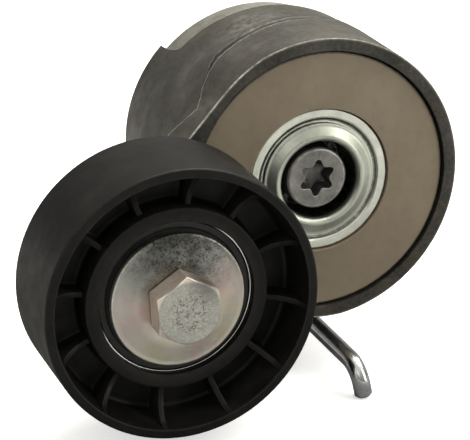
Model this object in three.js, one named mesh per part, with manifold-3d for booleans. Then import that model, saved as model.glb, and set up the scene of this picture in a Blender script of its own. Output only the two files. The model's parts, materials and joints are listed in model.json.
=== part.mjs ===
// Belt tensioner with a ribbed idler pulley, a sprung arm and a bent locking pin.
//
// Every piece is modelled in an axial frame: x to the right, y up, and z forward along the
// pivot axis from the mounting face. The outer group turns that frame so that +Z is up and
// the front of the tensioner faces -Y. All sizes are in millimetres and all angles in degrees,
// counted counterclockwise from x as seen from the front.

import * as THREE from "three";
import { mergeVertices } from "three/addons/utils/BufferGeometryUtils.js";
import Module from "manifold-3d";

const wasm = await Module();
wasm.setup();

// Clearances
const SEAT_GAP = 0.3; // between pieces that are pressed or bolted together
const RUN_GAP = 0.3; // between pieces that turn past each other
const BALL_GAP = 0.2; // between a ball and its groove or cage pocket
const STOP_GAP = 0.5; // degrees left at each end of the arm's travel

// Facets around a full turn
const ROUND = 40;
const ROUND_INNER = 30;
const ROUND_SMALL = 16;

// Arrangement
const CENTRE_DISTANCE = 47.8; // pivot axis to pulley axis
const ARM_ANGLE = -162.8; // direction from the pivot to the pulley
const ARM_TRAVEL = 60; // swing from the free stop to the locked position
const HOUSING_HEIGHT = 46.3; // mounting face to the front of the friction disc
const PULLEY_STAND = 19.4; // front of the friction disc to the middle of the pulley
const RIM_RADIUS = 35.6; // outside of the arm's cup

// Base casting
const BASE_INSET = 2.7; // outside of the base inside the outside of the cup
const BASE_WALL = 3;
const BASE_FLOOR = 6;
const BASE_SKIRT_HEIGHT = 12.5;
const BASE_HUB_RADIUS = 17.5;
const BASE_HUB_HEIGHT = 8.2;
const REAR_LAND_RADIUS = 16.5;
const REAR_RING_WIDTH = 4.9;
const REAR_RECESS_DEPTH = 2.2;
const REAR_RIB_COUNT = 6;
const REAR_RIB_WIDTH = 2.4;

// Locating peg in the mounting face
const PEG_RADIUS = 2.5;
const PEG_ORBIT = 24;
const PEG_ANGLE = 90;
const PEG_STAND = 5;
const PEG_SEAT_DEPTH = 4.4;
const PEG_BOSS_WALL = 2.6;

// Pivot tube, mounting bolt and bolt retainer
const TUBE_RADIUS = 12.3;
const BOLT_RADIUS = 5;
const BOLT_REACH = 22; // shank length behind the mounting face
const BOLT_HEAD_RADIUS = 7.9;
const BOLT_HEAD_HEIGHT = 9;
const BOLT_HEAD_DEPTH = 2.5; // head face below the front of the friction disc
const BOLT_HOLE_GAP = 0.6; // clearance hole around the mounting bolt's shank
const HEAD_WELL_RADIUS = 9.8;
const SOCKET_TIP_RADIUS = 4.5;
const SOCKET_ROOT_RADIUS = 3.1;
const SOCKET_DEPTH = 4.5;
const RETAINER_RADIUS = 7.2;
const RETAINER_LENGTH = 3.4;
const RETAINER_DEPTH = 1.3;

// Rolled end of the pivot tube, retaining dish and friction disc
const LIP_RADIUS = 14.1;
const LIP_HEIGHT = 1.2;
const DISH_RADIUS = 17.7;
const DISH_STEP_RADIUS = 15.6;
const DISH_STEP = 0.9;
const DISH_THICKNESS = 1.3;
const DISH_DEPTH = 0.74; // dish face below the front of the friction disc
const RIM_WIDTH = 3.6; // outside of the cup to the edge of the friction disc
const DISC_THICKNESS = 4.5;

// Arm casting
const RIM_STAND = 1; // rim face ahead of the friction disc
const CUP_DRAFT = 0.9; // the cup narrows this much towards its rear
const CUP_PARTING = 29; // height of the step left by the two halves of the mould
const CUP_PARTING_STEP = 0.4;
const CUP_REAR = 10.3; // mounting face to the rear edge of the cup
const CUP_WALL = 5.4;
const ARM_WEB = 4;
const ARM_HUB_WALL = 3.6;
const LEVER_THICKNESS = 8.8;
const LEVER_BOSS_RADIUS = 13;
const PULLEY_BOSS_RADIUS = 12;
const BOSS_REAR_LENGTH = 5;
const GUSSET_WIDTH = 5;
const GUSSET_DEPTH = 15;
const SKIRT_START = 136; // the skirt is the cup's low side, which reaches back over the base
const SKIRT_REAR = 0.5;

// Lock ears and locking pin
const LOCK_ANGLE = -85.7; // pin direction while the arm is at its free stop
const LOCK_STAND = 6.5; // pin axis beyond the outside of the cup
const PIN_RADIUS = 2.2;
const PIN_HOLE_GAP = 0.3;
const EAR_WALL = 2.6;
const BASE_EAR_REAR = 2;
const BASE_EAR_THICKNESS = 7.3;
const STOP_TAB_WIDTH = 3; // tab beside the base ear that ends the arm's travel
const STOP_TAB_HEIGHT = 7;
const ARM_EAR_REAR = 11;
const ARM_EAR_THICKNESS = 13;
const PIN_REST_GAP = 0.7; // pin end above the base ear
const PIN_BEND_STAND = 18; // front of the friction disc to the axis of the handle leg
const PIN_BEND_RADIUS = 5;
const PIN_HANDLE = 7.9;
const PIN_HANDLE_ANGLE = -78;

// Bush, thrust washer, sleeve and labyrinth ring
const BUSH_WALL = 1.5;
const THRUST_WASHER = 1.2;
const SLEEVE_WALL = 1.4;
const SLEEVE_LENGTH = 25;
const LABYRINTH_RING = 1.2;

// Torsion spring
const SPRING_INSET = 11.4; // outside of the cup to the middle of the wire
const WIRE_RADIUS = 2.4;
const SPRING_PITCH = 6.2;
const SPRING_START = 20;
const SPRING_STEPS_PER_TURN = 20;
const LUG_ANGLE = 14;
const LUG_HEIGHT = 5;
const LUG_WIDTH = 8;

// Pulley wheel
const PULLEY_RADIUS = 32.5;
const PULLEY_WIDTH = 25.2;
const PULLEY_RIM_WALL = 2.3;
const PULLEY_RIM_ROOT_WALL = 3.1;
const PULLEY_HUB_WALL = 1.5;
const PULLEY_LIP = 1.5; // lips that hold the bearing in the hub
const PULLEY_LIP_RADIUS = 18.5;
const PULLEY_WEB = 2.5;
const PULLEY_RIB_COUNT = 12;
const PULLEY_RIB_WIDTH = 1.3;
const RIB_HUB_DROP = 1.4; // rib ends below the hub face
const RIB_RIM_DROP = 1; // rib ends below the rim face
const RIB_DIP = 1.9; // sag of the rib's edge between its ends
const PULLEY_RIB_PHASE = -8.6;

// Ball bearing
const BEARING_WIDTH = 12;
const BEARING_OUTER_RADIUS = 20;
const BEARING_BORE_RADIUS = 8.5;
const BALL_COUNT = 8;
const BALL_RADIUS = 3.37;
const BALL_ORBIT = 14.25;
const RING_LAND = 2.35; // ring shoulders, counted from the ball orbit
const SEAL_THICKNESS = 1;
const SEAL_RECESS = 0.3;
const SEAL_SEAT_RADIUS = 17.9;
const CAGE_WALL = 1.9;
const CAGE_HEIGHT = 8.6;

// Pulley bolt, dished washer and rear shield
const PULLEY_BOLT_RADIUS = 5;
const PULLEY_BOLT_LENGTH = 30;
const HEX_ACROSS_FLATS = 14.8;
const HEX_HEIGHT = 6.6;
const HEX_PHASE = 3.4;
const WASHER_RADIUS = 16;
const WASHER_EDGE = 1.5;
const WASHER_RISE = 1.4;
const WASHER_STAND = 2.6; // washer's outer edge ahead of the bearing
const WASHER_CENTRE_RADIUS = 10.5;
const SHIELD_THICKNESS = 0.8;
const SHIELD_RADIUS = 16.4;

// Places that follow from the sizes above
const pulleyPlane = HOUSING_HEIGHT + PULLEY_STAND;
const pinBend = HOUSING_HEIGHT + PIN_BEND_STAND;
const baseRadius = RIM_RADIUS - BASE_INSET;
const rearRecessRadius = baseRadius - REAR_RING_WIDTH;
const discRadius = RIM_RADIUS - RIM_WIDTH;
const cupRearRadius = RIM_RADIUS - CUP_DRAFT;
const lockOrbit = RIM_RADIUS + LOCK_STAND;
const springRadius = RIM_RADIUS - SPRING_INSET;
const discRear = HOUSING_HEIGHT - DISC_THICKNESS;
const webFront = discRear - RUN_GAP;
const webRear = webFront - ARM_WEB;
const rimFront = HOUSING_HEIGHT + RIM_STAND;
const dishFace = HOUSING_HEIGHT - DISH_DEPTH;
const dishInnerFace = dishFace - DISH_STEP;
const boltHeadFace = HOUSING_HEIGHT - BOLT_HEAD_DEPTH;
const boltSeat = boltHeadFace - BOLT_HEAD_HEIGHT - SEAT_GAP;
const bushInner = TUBE_RADIUS + RUN_GAP;
const bushOuter = bushInner + BUSH_WALL;
const armHubBore = bushOuter + SEAT_GAP;
const armHubRadius = armHubBore + ARM_HUB_WALL;
const thrustRear = BASE_HUB_HEIGHT + SEAT_GAP;
const armHubRear = thrustRear + THRUST_WASHER + RUN_GAP;
const cupInner = RIM_RADIUS - CUP_WALL;
const labyrinthRear = BASE_SKIRT_HEIGHT + SEAT_GAP;
const labyrinthFront = labyrinthRear + LABYRINTH_RING + RUN_GAP;
const leverRear = rimFront - LEVER_THICKNESS;
const pulleyFront = pulleyPlane + PULLEY_WIDTH / 2;
const pulleyRear = pulleyPlane - PULLEY_WIDTH / 2;
const bearingFront = pulleyPlane + BEARING_WIDTH / 2;
const bearingRear = pulleyPlane - BEARING_WIDTH / 2;
const hubFront = bearingFront + SEAT_GAP + PULLEY_LIP;
const hubRear = bearingRear - SEAT_GAP - PULLEY_LIP;
const pulleyHubBore = BEARING_OUTER_RADIUS + SEAT_GAP;
const pulleyHubRadius = pulleyHubBore + PULLEY_HUB_WALL;
const shieldRear = bearingRear - SEAT_GAP - SHIELD_THICKNESS;
const bossFront = shieldRear - SEAT_GAP;
const spigotRadius = BEARING_BORE_RADIUS - SEAT_GAP;
const washerRear = bearingFront + SEAT_GAP;
const washerEdgeFront = bearingFront + WASHER_STAND;
const washerSeat = washerEdgeFront + WASHER_RISE;
const hexRear = washerSeat + SEAT_GAP;
const springBottom = BASE_FLOOR + 2 * SEAT_GAP + WIRE_RADIUS;
const springTop = webRear - 2 * SEAT_GAP - WIRE_RADIUS;
const springTurns = (springTop - springBottom) / SPRING_PITCH;
const springEnd = SPRING_START + springTurns * 360;
const pinHole = PIN_RADIUS + PIN_HOLE_GAP;
const earRadius = pinHole + EAR_WALL;
const baseEarAngle = LOCK_ANGLE - ARM_TRAVEL;
const baseEarFront = BASE_EAR_REAR + BASE_EAR_THICKNESS;
const skirtInner = baseRadius + RUN_GAP;
const stopTabSide = earRadius + RUN_GAP + STOP_TAB_WIDTH;
const stopHalfAngle = THREE.MathUtils.radToDeg(Math.asin(stopTabSide / skirtInner));
const skirtEnd = 360 + baseEarAngle - stopHalfAngle - STOP_GAP;
const skirtSweep = skirtEnd - SKIRT_START;

const rad = THREE.MathUtils.degToRad;

/** A point at a radius and an angle about the z axis. */
function polar(radius, angle) {
  return new THREE.Vector2(radius * Math.cos(rad(angle)), radius * Math.sin(rad(angle)));
}

/** A closed geometry as a manifold solid. */
function solidOf(geometry) {
  const bare = geometry.clone();
  bare.deleteAttribute("normal");
  bare.deleteAttribute("uv");
  const merged = mergeVertices(bare, 1e-4);
  return new wasm.Manifold(
    new wasm.Mesh({
      numProp: 3,
      vertProperties: new Float32Array(merged.attributes.position.array),
      triVerts: new Uint32Array(merged.index.array),
    }),
  );
}

/** A manifold solid as a flat-shaded geometry. */
function geometryOf(solid) {
  const mesh = solid.getMesh();
  const geometry = new THREE.BufferGeometry();
  geometry.setAttribute("position", new THREE.BufferAttribute(mesh.vertProperties, 3));
  geometry.setIndex(new THREE.BufferAttribute(mesh.triVerts, 1));
  const faceted = geometry.toNonIndexed();
  faceted.computeVertexNormals();
  return faceted;
}

/** The union of closed geometries. */
function join(...geometries) {
  return geometryOf(geometries.map(solidOf).reduce((whole, next) => whole.add(next)));
}

/** A closed geometry with others cut out of it. */
function cut(geometry, ...tools) {
  return geometryOf(tools.map(solidOf).reduce((rest, tool) => rest.subtract(tool), solidOf(geometry)));
}

/** Revolves an outline of [radius, z] points, counterclockwise, about the z axis. */
function turned(outline, segments = ROUND) {
  const closed = outline[0][0] > 0 ? [...outline, outline[0]] : outline;
  const points = closed.map(([radius, z]) => new THREE.Vector2(radius, z));
  return new THREE.LatheGeometry(points, segments).rotateX(Math.PI / 2);
}

/** A plain ring between two radii and two heights. */
function ring(inner, outer, rear, front, segments = ROUND) {
  return turned([[inner, rear], [outer, rear], [outer, front], [inner, front]], segments);
}

/** A plain round bar about the z axis. */
function bar(radius, rear, front, segments = ROUND) {
  return turned([[0, rear], [radius, rear], [radius, front], [0, front]], segments);
}

/** Extrudes a flat shape forward from one height to another. */
function plate(shape, rear, front, curveSegments = 12) {
  const settings = { depth: front - rear, bevelEnabled: false, curveSegments };
  return new THREE.ExtrudeGeometry(shape, settings).translate(0, 0, rear);
}

/** A block between two radii that spans an angle. */
function sector(inner, outer, start, sweep, rear, front) {
  const shape = new THREE.Shape();
  shape.absarc(0, 0, outer, rad(start), rad(start + sweep), false);
  shape.absarc(0, 0, inner, rad(start + sweep), rad(start), true);
  return plate(shape, rear, front, Math.max(3, Math.round(sweep / 7)));
}

/** A round-ended ear that points outwards at an angle, with a hole on its orbit. */
function ear(orbit, radius, angle, root, rear, front) {
  const outline = new THREE.Shape();
  outline.moveTo(root, -radius);
  outline.lineTo(orbit, -radius);
  outline.absarc(orbit, 0, radius, -Math.PI / 2, Math.PI / 2, false);
  outline.lineTo(root, radius);
  outline.closePath();
  return plate(outline, rear, front).rotateZ(rad(angle));
}

/** A round hole through a pair of heights, at a radius and an angle. */
function hole(radius, orbit, angle, rear, front) {
  const centre = polar(orbit, angle);
  return bar(radius, rear, front, ROUND_SMALL).translate(centre.x, centre.y, 0);
}

/** Points of the ball groove's arc, between the shoulders on one side of the ball orbit. */
function groove(side, zStart, zEnd) {
  const radius = BALL_RADIUS + BALL_GAP;
  const half = Math.acos(RING_LAND / radius);
  const steps = 4;
  const sign = Math.sign(zEnd - zStart);
  return Array.from({ length: steps + 1 }, (_, i) => {
    const turn = half * (2 * (i / steps) - 1) * sign;
    return [BALL_ORBIT + side * radius * Math.cos(turn), pulleyPlane + radius * Math.sin(turn)];
  });
}

// ---------------------------------------------------------------- materials

function finish(color, roughness, metalness) {
  return new THREE.MeshStandardMaterial({ color, roughness, metalness });
}

const castAluminium = () => finish(0x55534f, 0.6, 0.7);
const zincSteel = () => finish(0xa9a8a0, 0.35, 0.9);
const darkSteel = () => finish(0x5c5b58, 0.45, 0.85);
const springSteel = () => finish(0x3c3d40, 0.4, 0.8);
const bearingSteel = () => finish(0xb9bbbd, 0.2, 0.95);
const blackPlastic = () => finish(0x1b1b1b, 0.5, 0);
const beigePlastic = () => finish(0x796d5b, 0.75, 0);
const palePlastic = () => finish(0xb8ab8c, 0.6, 0);
const sealRubber = () => finish(0x141414, 0.7, 0);

/** Adds a named piece to a group. */
function piece(group, name, geometry, material) {
  const mesh = new THREE.Mesh(geometry, material);
  mesh.name = name;
  group.add(mesh);
  return mesh;
}

// ------------------------------------------------------------ base assembly

/** The fixed rear casting: floor, skirt, hub, lock ear, stop and spring lug. */
function baseHousing() {
  const bore = TUBE_RADIUS + SEAT_GAP;
  const inner = baseRadius - BASE_WALL;
  const shell = turned([
    [bore, 0],
    [REAR_LAND_RADIUS, 0],
    [REAR_LAND_RADIUS + 0.4, REAR_RECESS_DEPTH],
    [rearRecessRadius - 0.4, REAR_RECESS_DEPTH],
    [rearRecessRadius, 0],
    [baseRadius - 0.5, 0],
    [baseRadius, 0.5],
    [baseRadius, BASE_SKIRT_HEIGHT],
    [inner, BASE_SKIRT_HEIGHT],
    [inner, BASE_FLOOR],
    [BASE_HUB_RADIUS, BASE_FLOOR],
    [BASE_HUB_RADIUS, BASE_HUB_HEIGHT],
    [bore, BASE_HUB_HEIGHT],
  ]);
  const ribLength = rearRecessRadius - REAR_LAND_RADIUS + 1;
  const ribs = Array.from({ length: REAR_RIB_COUNT }, (_, i) =>
    new THREE.BoxGeometry(ribLength, REAR_RIB_WIDTH, REAR_RECESS_DEPTH + 0.5)
      .translate(REAR_LAND_RADIUS + ribLength / 2 - 0.5, 0, REAR_RECESS_DEPTH / 2 + 0.25)
      .rotateZ(rad((360 / REAR_RIB_COUNT) * (i + 0.5))),
  );
  const pegPlace = polar(PEG_ORBIT, PEG_ANGLE);
  const pegBossRadius = PEG_RADIUS + PEG_BOSS_WALL;
  const pegBossFront = BASE_FLOOR - 0.5;
  const pegBoss = bar(pegBossRadius, 0, pegBossFront, ROUND_SMALL).translate(pegPlace.x, pegPlace.y, 0);
  const lugSide = SPRING_START - 1 - LUG_ANGLE;
  const lugInner = springRadius - LUG_WIDTH / 2;
  const lugFront = BASE_FLOOR + LUG_HEIGHT;
  const springLug = sector(lugInner, inner + 0.5, lugSide, LUG_ANGLE, BASE_FLOOR - 1, lugFront);
  const lockEar = ear(lockOrbit, earRadius, baseEarAngle, inner + 1, BASE_EAR_REAR, baseEarFront);
  const stopRoot = new THREE.BoxGeometry(lockOrbit - inner - 1, stopTabSide, BASE_EAR_THICKNESS)
    .translate((lockOrbit + inner + 1) / 2, -stopTabSide / 2, (BASE_EAR_REAR + baseEarFront) / 2)
    .rotateZ(rad(baseEarAngle));
  const tabInner = RIM_RADIUS + 3 * RUN_GAP;
  const tabMiddle = baseEarFront - 1 + STOP_TAB_HEIGHT / 2;
  const stopTab = new THREE.BoxGeometry(lockOrbit - tabInner, STOP_TAB_WIDTH, STOP_TAB_HEIGHT + 1)
    .translate((lockOrbit + tabInner) / 2, STOP_TAB_WIDTH / 2 - stopTabSide, tabMiddle)
    .rotateZ(rad(baseEarAngle));
  const whole = join(shell, ...ribs, pegBoss, springLug, lockEar, stopRoot, stopTab);
  const pegHole = hole(PEG_RADIUS + SEAT_GAP, PEG_ORBIT, PEG_ANGLE, -1, PEG_SEAT_DEPTH + SEAT_GAP);
  const lockHole = hole(pinHole, lockOrbit, baseEarAngle, 0, CUP_REAR);
  return cut(whole, pegHole, lockHole);
}

/** Dowel that stops the base from turning on its seat. */
function locatingPeg() {
  const place = polar(PEG_ORBIT, PEG_ANGLE);
  const chamfer = 0.6;
  return turned(
    [
      [0, -PEG_STAND],
      [PEG_RADIUS - chamfer, -PEG_STAND],
      [PEG_RADIUS, chamfer - PEG_STAND],
      [PEG_RADIUS, PEG_SEAT_DEPTH],
      [0, PEG_SEAT_DEPTH],
    ],
    ROUND_SMALL,
  ).translate(place.x, place.y, 0);
}

/** Steel tube that the arm turns on; its front end is rolled over the retaining dish. */
function pivotTube() {
  const bore = BOLT_RADIUS + BOLT_HOLE_GAP;
  const lipRear = dishInnerFace + SEAT_GAP;
  const lipFront = lipRear + LIP_HEIGHT;
  const retainerBore = RETAINER_RADIUS + SEAT_GAP;
  const retainerFront = RETAINER_DEPTH + RETAINER_LENGTH + SEAT_GAP;
  return turned(
    [
      [retainerBore, 0],
      [TUBE_RADIUS, 0],
      [TUBE_RADIUS, lipRear],
      [LIP_RADIUS - 0.3, lipRear],
      [LIP_RADIUS, lipRear + 0.4],
      [LIP_RADIUS - 0.5, lipFront - 0.3],
      [TUBE_RADIUS, lipFront],
      [HEAD_WELL_RADIUS + 0.8, lipFront - 0.5],
      [HEAD_WELL_RADIUS, lipFront - 1.5],
      [HEAD_WELL_RADIUS, boltSeat],
      [bore, boltSeat],
      [bore, retainerFront],
      [retainerBore, retainerFront],
    ],
    ROUND_INNER,
  );
}

/** Plastic collar that keeps the mounting bolt in the tube before it is fitted. */
function boltRetainer() {
  return ring(
    BOLT_RADIUS + SEAT_GAP,
    RETAINER_RADIUS,
    RETAINER_DEPTH,
    RETAINER_DEPTH + RETAINER_LENGTH,
    ROUND_SMALL,
  );
}

/** Six-lobed outline of the socket in the mounting bolt's head. */
function socketShape() {
  const mean = (SOCKET_TIP_RADIUS + SOCKET_ROOT_RADIUS) / 2;
  const swing = (SOCKET_TIP_RADIUS - SOCKET_ROOT_RADIUS) / 2;
  const points = Array.from({ length: 36 }, (_, i) => polar(mean + swing * Math.cos(rad(60 * i)), i * 10));
  return new THREE.Shape(points);
}

/** Round-headed mounting bolt with a lobed socket. */
function mountingBolt() {
  const seat = boltHeadFace - BOLT_HEAD_HEIGHT;
  const chamfer = 0.5;
  const blank = turned(
    [
      [0, -BOLT_REACH],
      [BOLT_RADIUS - 1.2, -BOLT_REACH],
      [BOLT_RADIUS, 1.2 - BOLT_REACH],
      [BOLT_RADIUS, seat],
      [BOLT_HEAD_RADIUS, seat],
      [BOLT_HEAD_RADIUS, boltHeadFace - chamfer],
      [BOLT_HEAD_RADIUS - chamfer, boltHeadFace],
      [0, boltHeadFace],
    ],
    ROUND_INNER,
  );
  const socketAngle = -35;
  const socket = plate(socketShape(), boltHeadFace - SOCKET_DEPTH, boltHeadFace + 1);
  return cut(blank, socket.rotateZ(rad(socketAngle)));
}

/** Pressed steel dish that holds the friction disc under the rolled end of the tube. */
function retainingDish() {
  const bore = TUBE_RADIUS + SEAT_GAP;
  const rear = dishFace - DISH_THICKNESS;
  const innerRear = dishInnerFace - DISH_THICKNESS;
  return turned([
    [bore, innerRear],
    [DISH_STEP_RADIUS - 0.2, innerRear],
    [DISH_STEP_RADIUS + 0.5, rear],
    [DISH_RADIUS, rear],
    [DISH_RADIUS, dishFace - 0.3],
    [DISH_RADIUS - 0.3, dishFace],
    [DISH_STEP_RADIUS, dishFace],
    [DISH_STEP_RADIUS - 0.7, dishInnerFace],
    [bore, dishInnerFace],
  ]);
}

/** Moulded disc that the arm rubs against, which damps its swing. */
function frictionDisc() {
  const bore = TUBE_RADIUS + SEAT_GAP;
  const seat = dishInnerFace - DISH_THICKNESS - SEAT_GAP;
  const step = dishFace - DISH_THICKNESS - SEAT_GAP;
  const recess = DISH_RADIUS + SEAT_GAP;
  const chamfer = 0.3;
  return turned([
    [bore, discRear],
    [discRadius, discRear],
    [discRadius, HOUSING_HEIGHT - chamfer],
    [discRadius - chamfer, HOUSING_HEIGHT],
    [recess, HOUSING_HEIGHT],
    [recess, step],
    [DISH_STEP_RADIUS + 0.8, step],
    [DISH_STEP_RADIUS + 0.1, seat],
    [bore, seat],
  ]);
}

/** Washer between the base hub and the arm hub. */
function thrustWasher() {
  return ring(bushInner, BASE_HUB_RADIUS, thrustRear, thrustRear + THRUST_WASHER, ROUND_INNER);
}

/** Ring that closes the gap between the base skirt and the arm's cup. */
function labyrinthRing() {
  const inner = baseRadius - BASE_WALL + RUN_GAP;
  return ring(inner, baseRadius, labyrinthRear, labyrinthRear + LABYRINTH_RING);
}

/** Helix of the torsion spring's wire. */
class SpringCurve extends THREE.Curve {
  getPoint(t, target = new THREE.Vector3()) {
    const angle = rad(SPRING_START + t * springTurns * 360);
    const z = springBottom + t * (springTop - springBottom);
    return target.set(springRadius * Math.cos(angle), springRadius * Math.sin(angle), z);
  }
}

/** Torsion spring, one end against the base's lug and the other against the arm's. */
function torsionSpring() {
  const section = new THREE.Shape();
  section.absarc(0, 0, WIRE_RADIUS, 0, 2 * Math.PI, false);
  return new THREE.ExtrudeGeometry(section, {
    steps: Math.round(springTurns * SPRING_STEPS_PER_TURN),
    extrudePath: new SpringCurve(),
    curveSegments: 4,
    bevelEnabled: false,
  });
}

// ------------------------------------------------------------- arm assembly

/** Outline of the lever: two circles and the lines that touch them both. */
function leverShape() {
  const cup = RIM_RADIUS - 0.3;
  const lean = Math.acos((cup - LEVER_BOSS_RADIUS) / CENTRE_DISTANCE);
  const shape = new THREE.Shape();
  shape.absarc(0, 0, cup, lean, 2 * Math.PI - lean, false);
  shape.absarc(CENTRE_DISTANCE, 0, LEVER_BOSS_RADIUS, -lean, lean, false);
  return shape;
}

/** Web under the lever, deep at the cup and shallow at the pulley boss. */
function gusset() {
  const shape = new THREE.Shape();
  shape.moveTo(RIM_RADIUS - 2, leverRear + 1);
  shape.lineTo(RIM_RADIUS - 2, leverRear - GUSSET_DEPTH);
  shape.lineTo(CENTRE_DISTANCE, leverRear - BOSS_REAR_LENGTH + 1);
  shape.lineTo(CENTRE_DISTANCE, leverRear + 1);
  shape.closePath();
  return plate(shape, -GUSSET_WIDTH / 2, GUSSET_WIDTH / 2).rotateX(Math.PI / 2);
}

/** The swinging casting: cup, rim, hub, lever, pulley boss, skirt, lock ear and spring lug. */
function armCasting() {
  const cup = turned([
    [armHubBore, armHubRear],
    [armHubRadius, armHubRear],
    [armHubRadius, webRear - 1.5],
    [armHubRadius + 1.5, webRear],
    [cupInner - 1.5, webRear],
    [cupInner, webRear - 1.5],
    [cupInner, labyrinthFront],
    [skirtInner, labyrinthFront],
    [skirtInner, CUP_REAR],
    [cupRearRadius, CUP_REAR],
    [RIM_RADIUS - 0.1 - CUP_PARTING_STEP, CUP_PARTING - CUP_PARTING_STEP],
    [RIM_RADIUS - 0.1, CUP_PARTING],
    [RIM_RADIUS, rimFront - 0.6],
    [RIM_RADIUS - 0.6, rimFront],
    [discRadius + RUN_GAP, rimFront],
    [discRadius + RUN_GAP, webFront],
    [armHubBore, webFront],
  ]);
  const skirt = sector(skirtInner, cupRearRadius, SKIRT_START, skirtSweep, SKIRT_REAR, CUP_REAR + 1);
  const core = bar(RIM_RADIUS - 1.6, 0, rimFront + 1);
  const boss = turned(
    [
      [0, leverRear - BOSS_REAR_LENGTH],
      [PULLEY_BOSS_RADIUS - 1, leverRear - BOSS_REAR_LENGTH],
      [LEVER_BOSS_RADIUS, leverRear],
      [LEVER_BOSS_RADIUS, rimFront],
      [PULLEY_BOSS_RADIUS, rimFront + 1],
      [PULLEY_BOSS_RADIUS, bossFront],
      [spigotRadius, bossFront],
      [spigotRadius, bearingFront - 1],
      [0, bearingFront - 1],
    ],
    ROUND_INNER,
  ).translate(CENTRE_DISTANCE, 0, 0);
  const boltBottom = hexRear - PULLEY_BOLT_LENGTH - 1;
  const boltHole = bar(PULLEY_BOLT_RADIUS + SEAT_GAP, boltBottom, bearingFront, ROUND_SMALL);
  const lever = join(plate(leverShape(), leverRear, rimFront, 24), gusset(), boss);
  const arm = cut(lever, core, boltHole.translate(CENTRE_DISTANCE, 0, 0)).rotateZ(rad(ARM_ANGLE));
  const earFront = ARM_EAR_REAR + ARM_EAR_THICKNESS;
  const lockEar = ear(lockOrbit, earRadius, LOCK_ANGLE, cupInner + 3.5, ARM_EAR_REAR, earFront);
  const lockHole = hole(pinHole, lockOrbit, LOCK_ANGLE, ARM_EAR_REAR - 1, earFront + 1);
  const lugInner = springRadius - LUG_WIDTH / 2;
  const lugStart = springEnd + 1;
  const springLug = sector(lugInner, cupInner + 1, lugStart, LUG_ANGLE, webRear - LUG_HEIGHT, webRear + 1);
  return cut(join(cup, skirt, arm, cut(lockEar, bar(cupInner + 3, 0, rimFront)), springLug), lockHole);
}

/** Plain bush pressed into the arm's hub. */
function pivotBush() {
  return ring(bushInner, bushOuter, armHubRear + 0.2, webFront - 0.2, ROUND_INNER);
}

/** Plastic sleeve on the arm's hub that guides the spring's coils. */
function springSleeve() {
  const inner = armHubRadius + SEAT_GAP;
  const rear = armHubRear + 0.2;
  return ring(inner, inner + SLEEVE_WALL, rear, rear + SLEEVE_LENGTH, ROUND_INNER);
}

/** Zinc-plated washer that covers the bearing's bore, raised under the bolt head. */
function dishedWasher() {
  const bore = PULLEY_BOLT_RADIUS + SEAT_GAP;
  const edgeRear = washerEdgeFront - WASHER_EDGE;
  return turned([
    [bore, washerRear],
    [RING_LAND + spigotRadius, washerRear],
    [WASHER_CENTRE_RADIUS + 1.5, edgeRear],
    [WASHER_RADIUS, edgeRear],
    [WASHER_RADIUS, washerEdgeFront - 0.4],
    [WASHER_RADIUS - 0.4, washerEdgeFront],
    [WASHER_CENTRE_RADIUS, washerSeat],
    [bore, washerSeat],
  ]);
}

/** Hexagon bolt that clamps the bearing to the arm's boss. */
function pulleyBolt() {
  const hexFront = hexRear + HEX_HEIGHT;
  const corner = HEX_ACROSS_FLATS / Math.sqrt(3);
  const corners = Array.from({ length: 6 }, (_, i) => polar(corner, 60 * i + 30 + HEX_PHASE));
  const hex = plate(new THREE.Shape(corners), hexRear, hexFront);
  const chamferRise = 1.3;
  const chamferRadius = HEX_ACROSS_FLATS / 2 - 0.5;
  const envelope = turned(
    [
      [0, hexRear - 1],
      [corner + 1, hexRear - 1],
      [corner + 1, hexFront - chamferRise],
      [chamferRadius, hexFront],
      [0, hexFront],
    ],
    ROUND_INNER,
  );
  const head = geometryOf(solidOf(hex).intersect(solidOf(envelope)));
  const tip = hexRear - PULLEY_BOLT_LENGTH;
  const shank = turned(
    [
      [0, tip],
      [PULLEY_BOLT_RADIUS - 1, tip],
      [PULLEY_BOLT_RADIUS, tip + 1],
      [PULLEY_BOLT_RADIUS, hexRear + 1],
      [0, hexRear + 1],
    ],
    ROUND_SMALL,
  );
  return join(head, shank);
}

/** Thin plate that keeps dirt out of the back of the bearing. */
function rearShield() {
  return ring(BEARING_BORE_RADIUS, SHIELD_RADIUS, shieldRear, shieldRear + SHIELD_THICKNESS, ROUND_INNER);
}

/** Bearing ring on the arm's spigot. */
function bearingInnerRing() {
  const land = BALL_ORBIT - RING_LAND;
  return turned(
    [
      [BEARING_BORE_RADIUS, bearingRear],
      [land, bearingRear],
      ...groove(-1, bearingRear, bearingFront),
      [land, bearingFront],
      [BEARING_BORE_RADIUS, bearingFront],
    ],
    ROUND_INNER,
  );
}

/** Rod that holds the arm in its loaded position, bent outwards into a handle. */
function lockingPin() {
  const place = polar(lockOrbit, LOCK_ANGLE);
  const handle = polar(1, PIN_HANDLE_ANGLE);
  const at = (out, z) => new THREE.Vector3(place.x + handle.x * out, place.y + handle.y * out, z);
  const tail = baseEarFront + PIN_REST_GAP;
  const path = new THREE.CurvePath();
  path.add(new THREE.LineCurve3(at(0, tail), at(0, pinBend - PIN_BEND_RADIUS)));
  path.add(
    new THREE.QuadraticBezierCurve3(
      at(0, pinBend - PIN_BEND_RADIUS),
      at(0, pinBend),
      at(PIN_BEND_RADIUS, pinBend),
    ),
  );
  path.add(new THREE.LineCurve3(at(PIN_BEND_RADIUS, pinBend), at(PIN_HANDLE, pinBend)));
  const section = new THREE.Shape();
  section.absarc(0, 0, PIN_RADIUS, 0, 2 * Math.PI, false);
  return new THREE.ExtrudeGeometry(section, {
    steps: 26,
    extrudePath: path,
    curveSegments: 6,
    bevelEnabled: false,
  });
}

// ---------------------------------------------------------- pulley assembly

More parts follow.
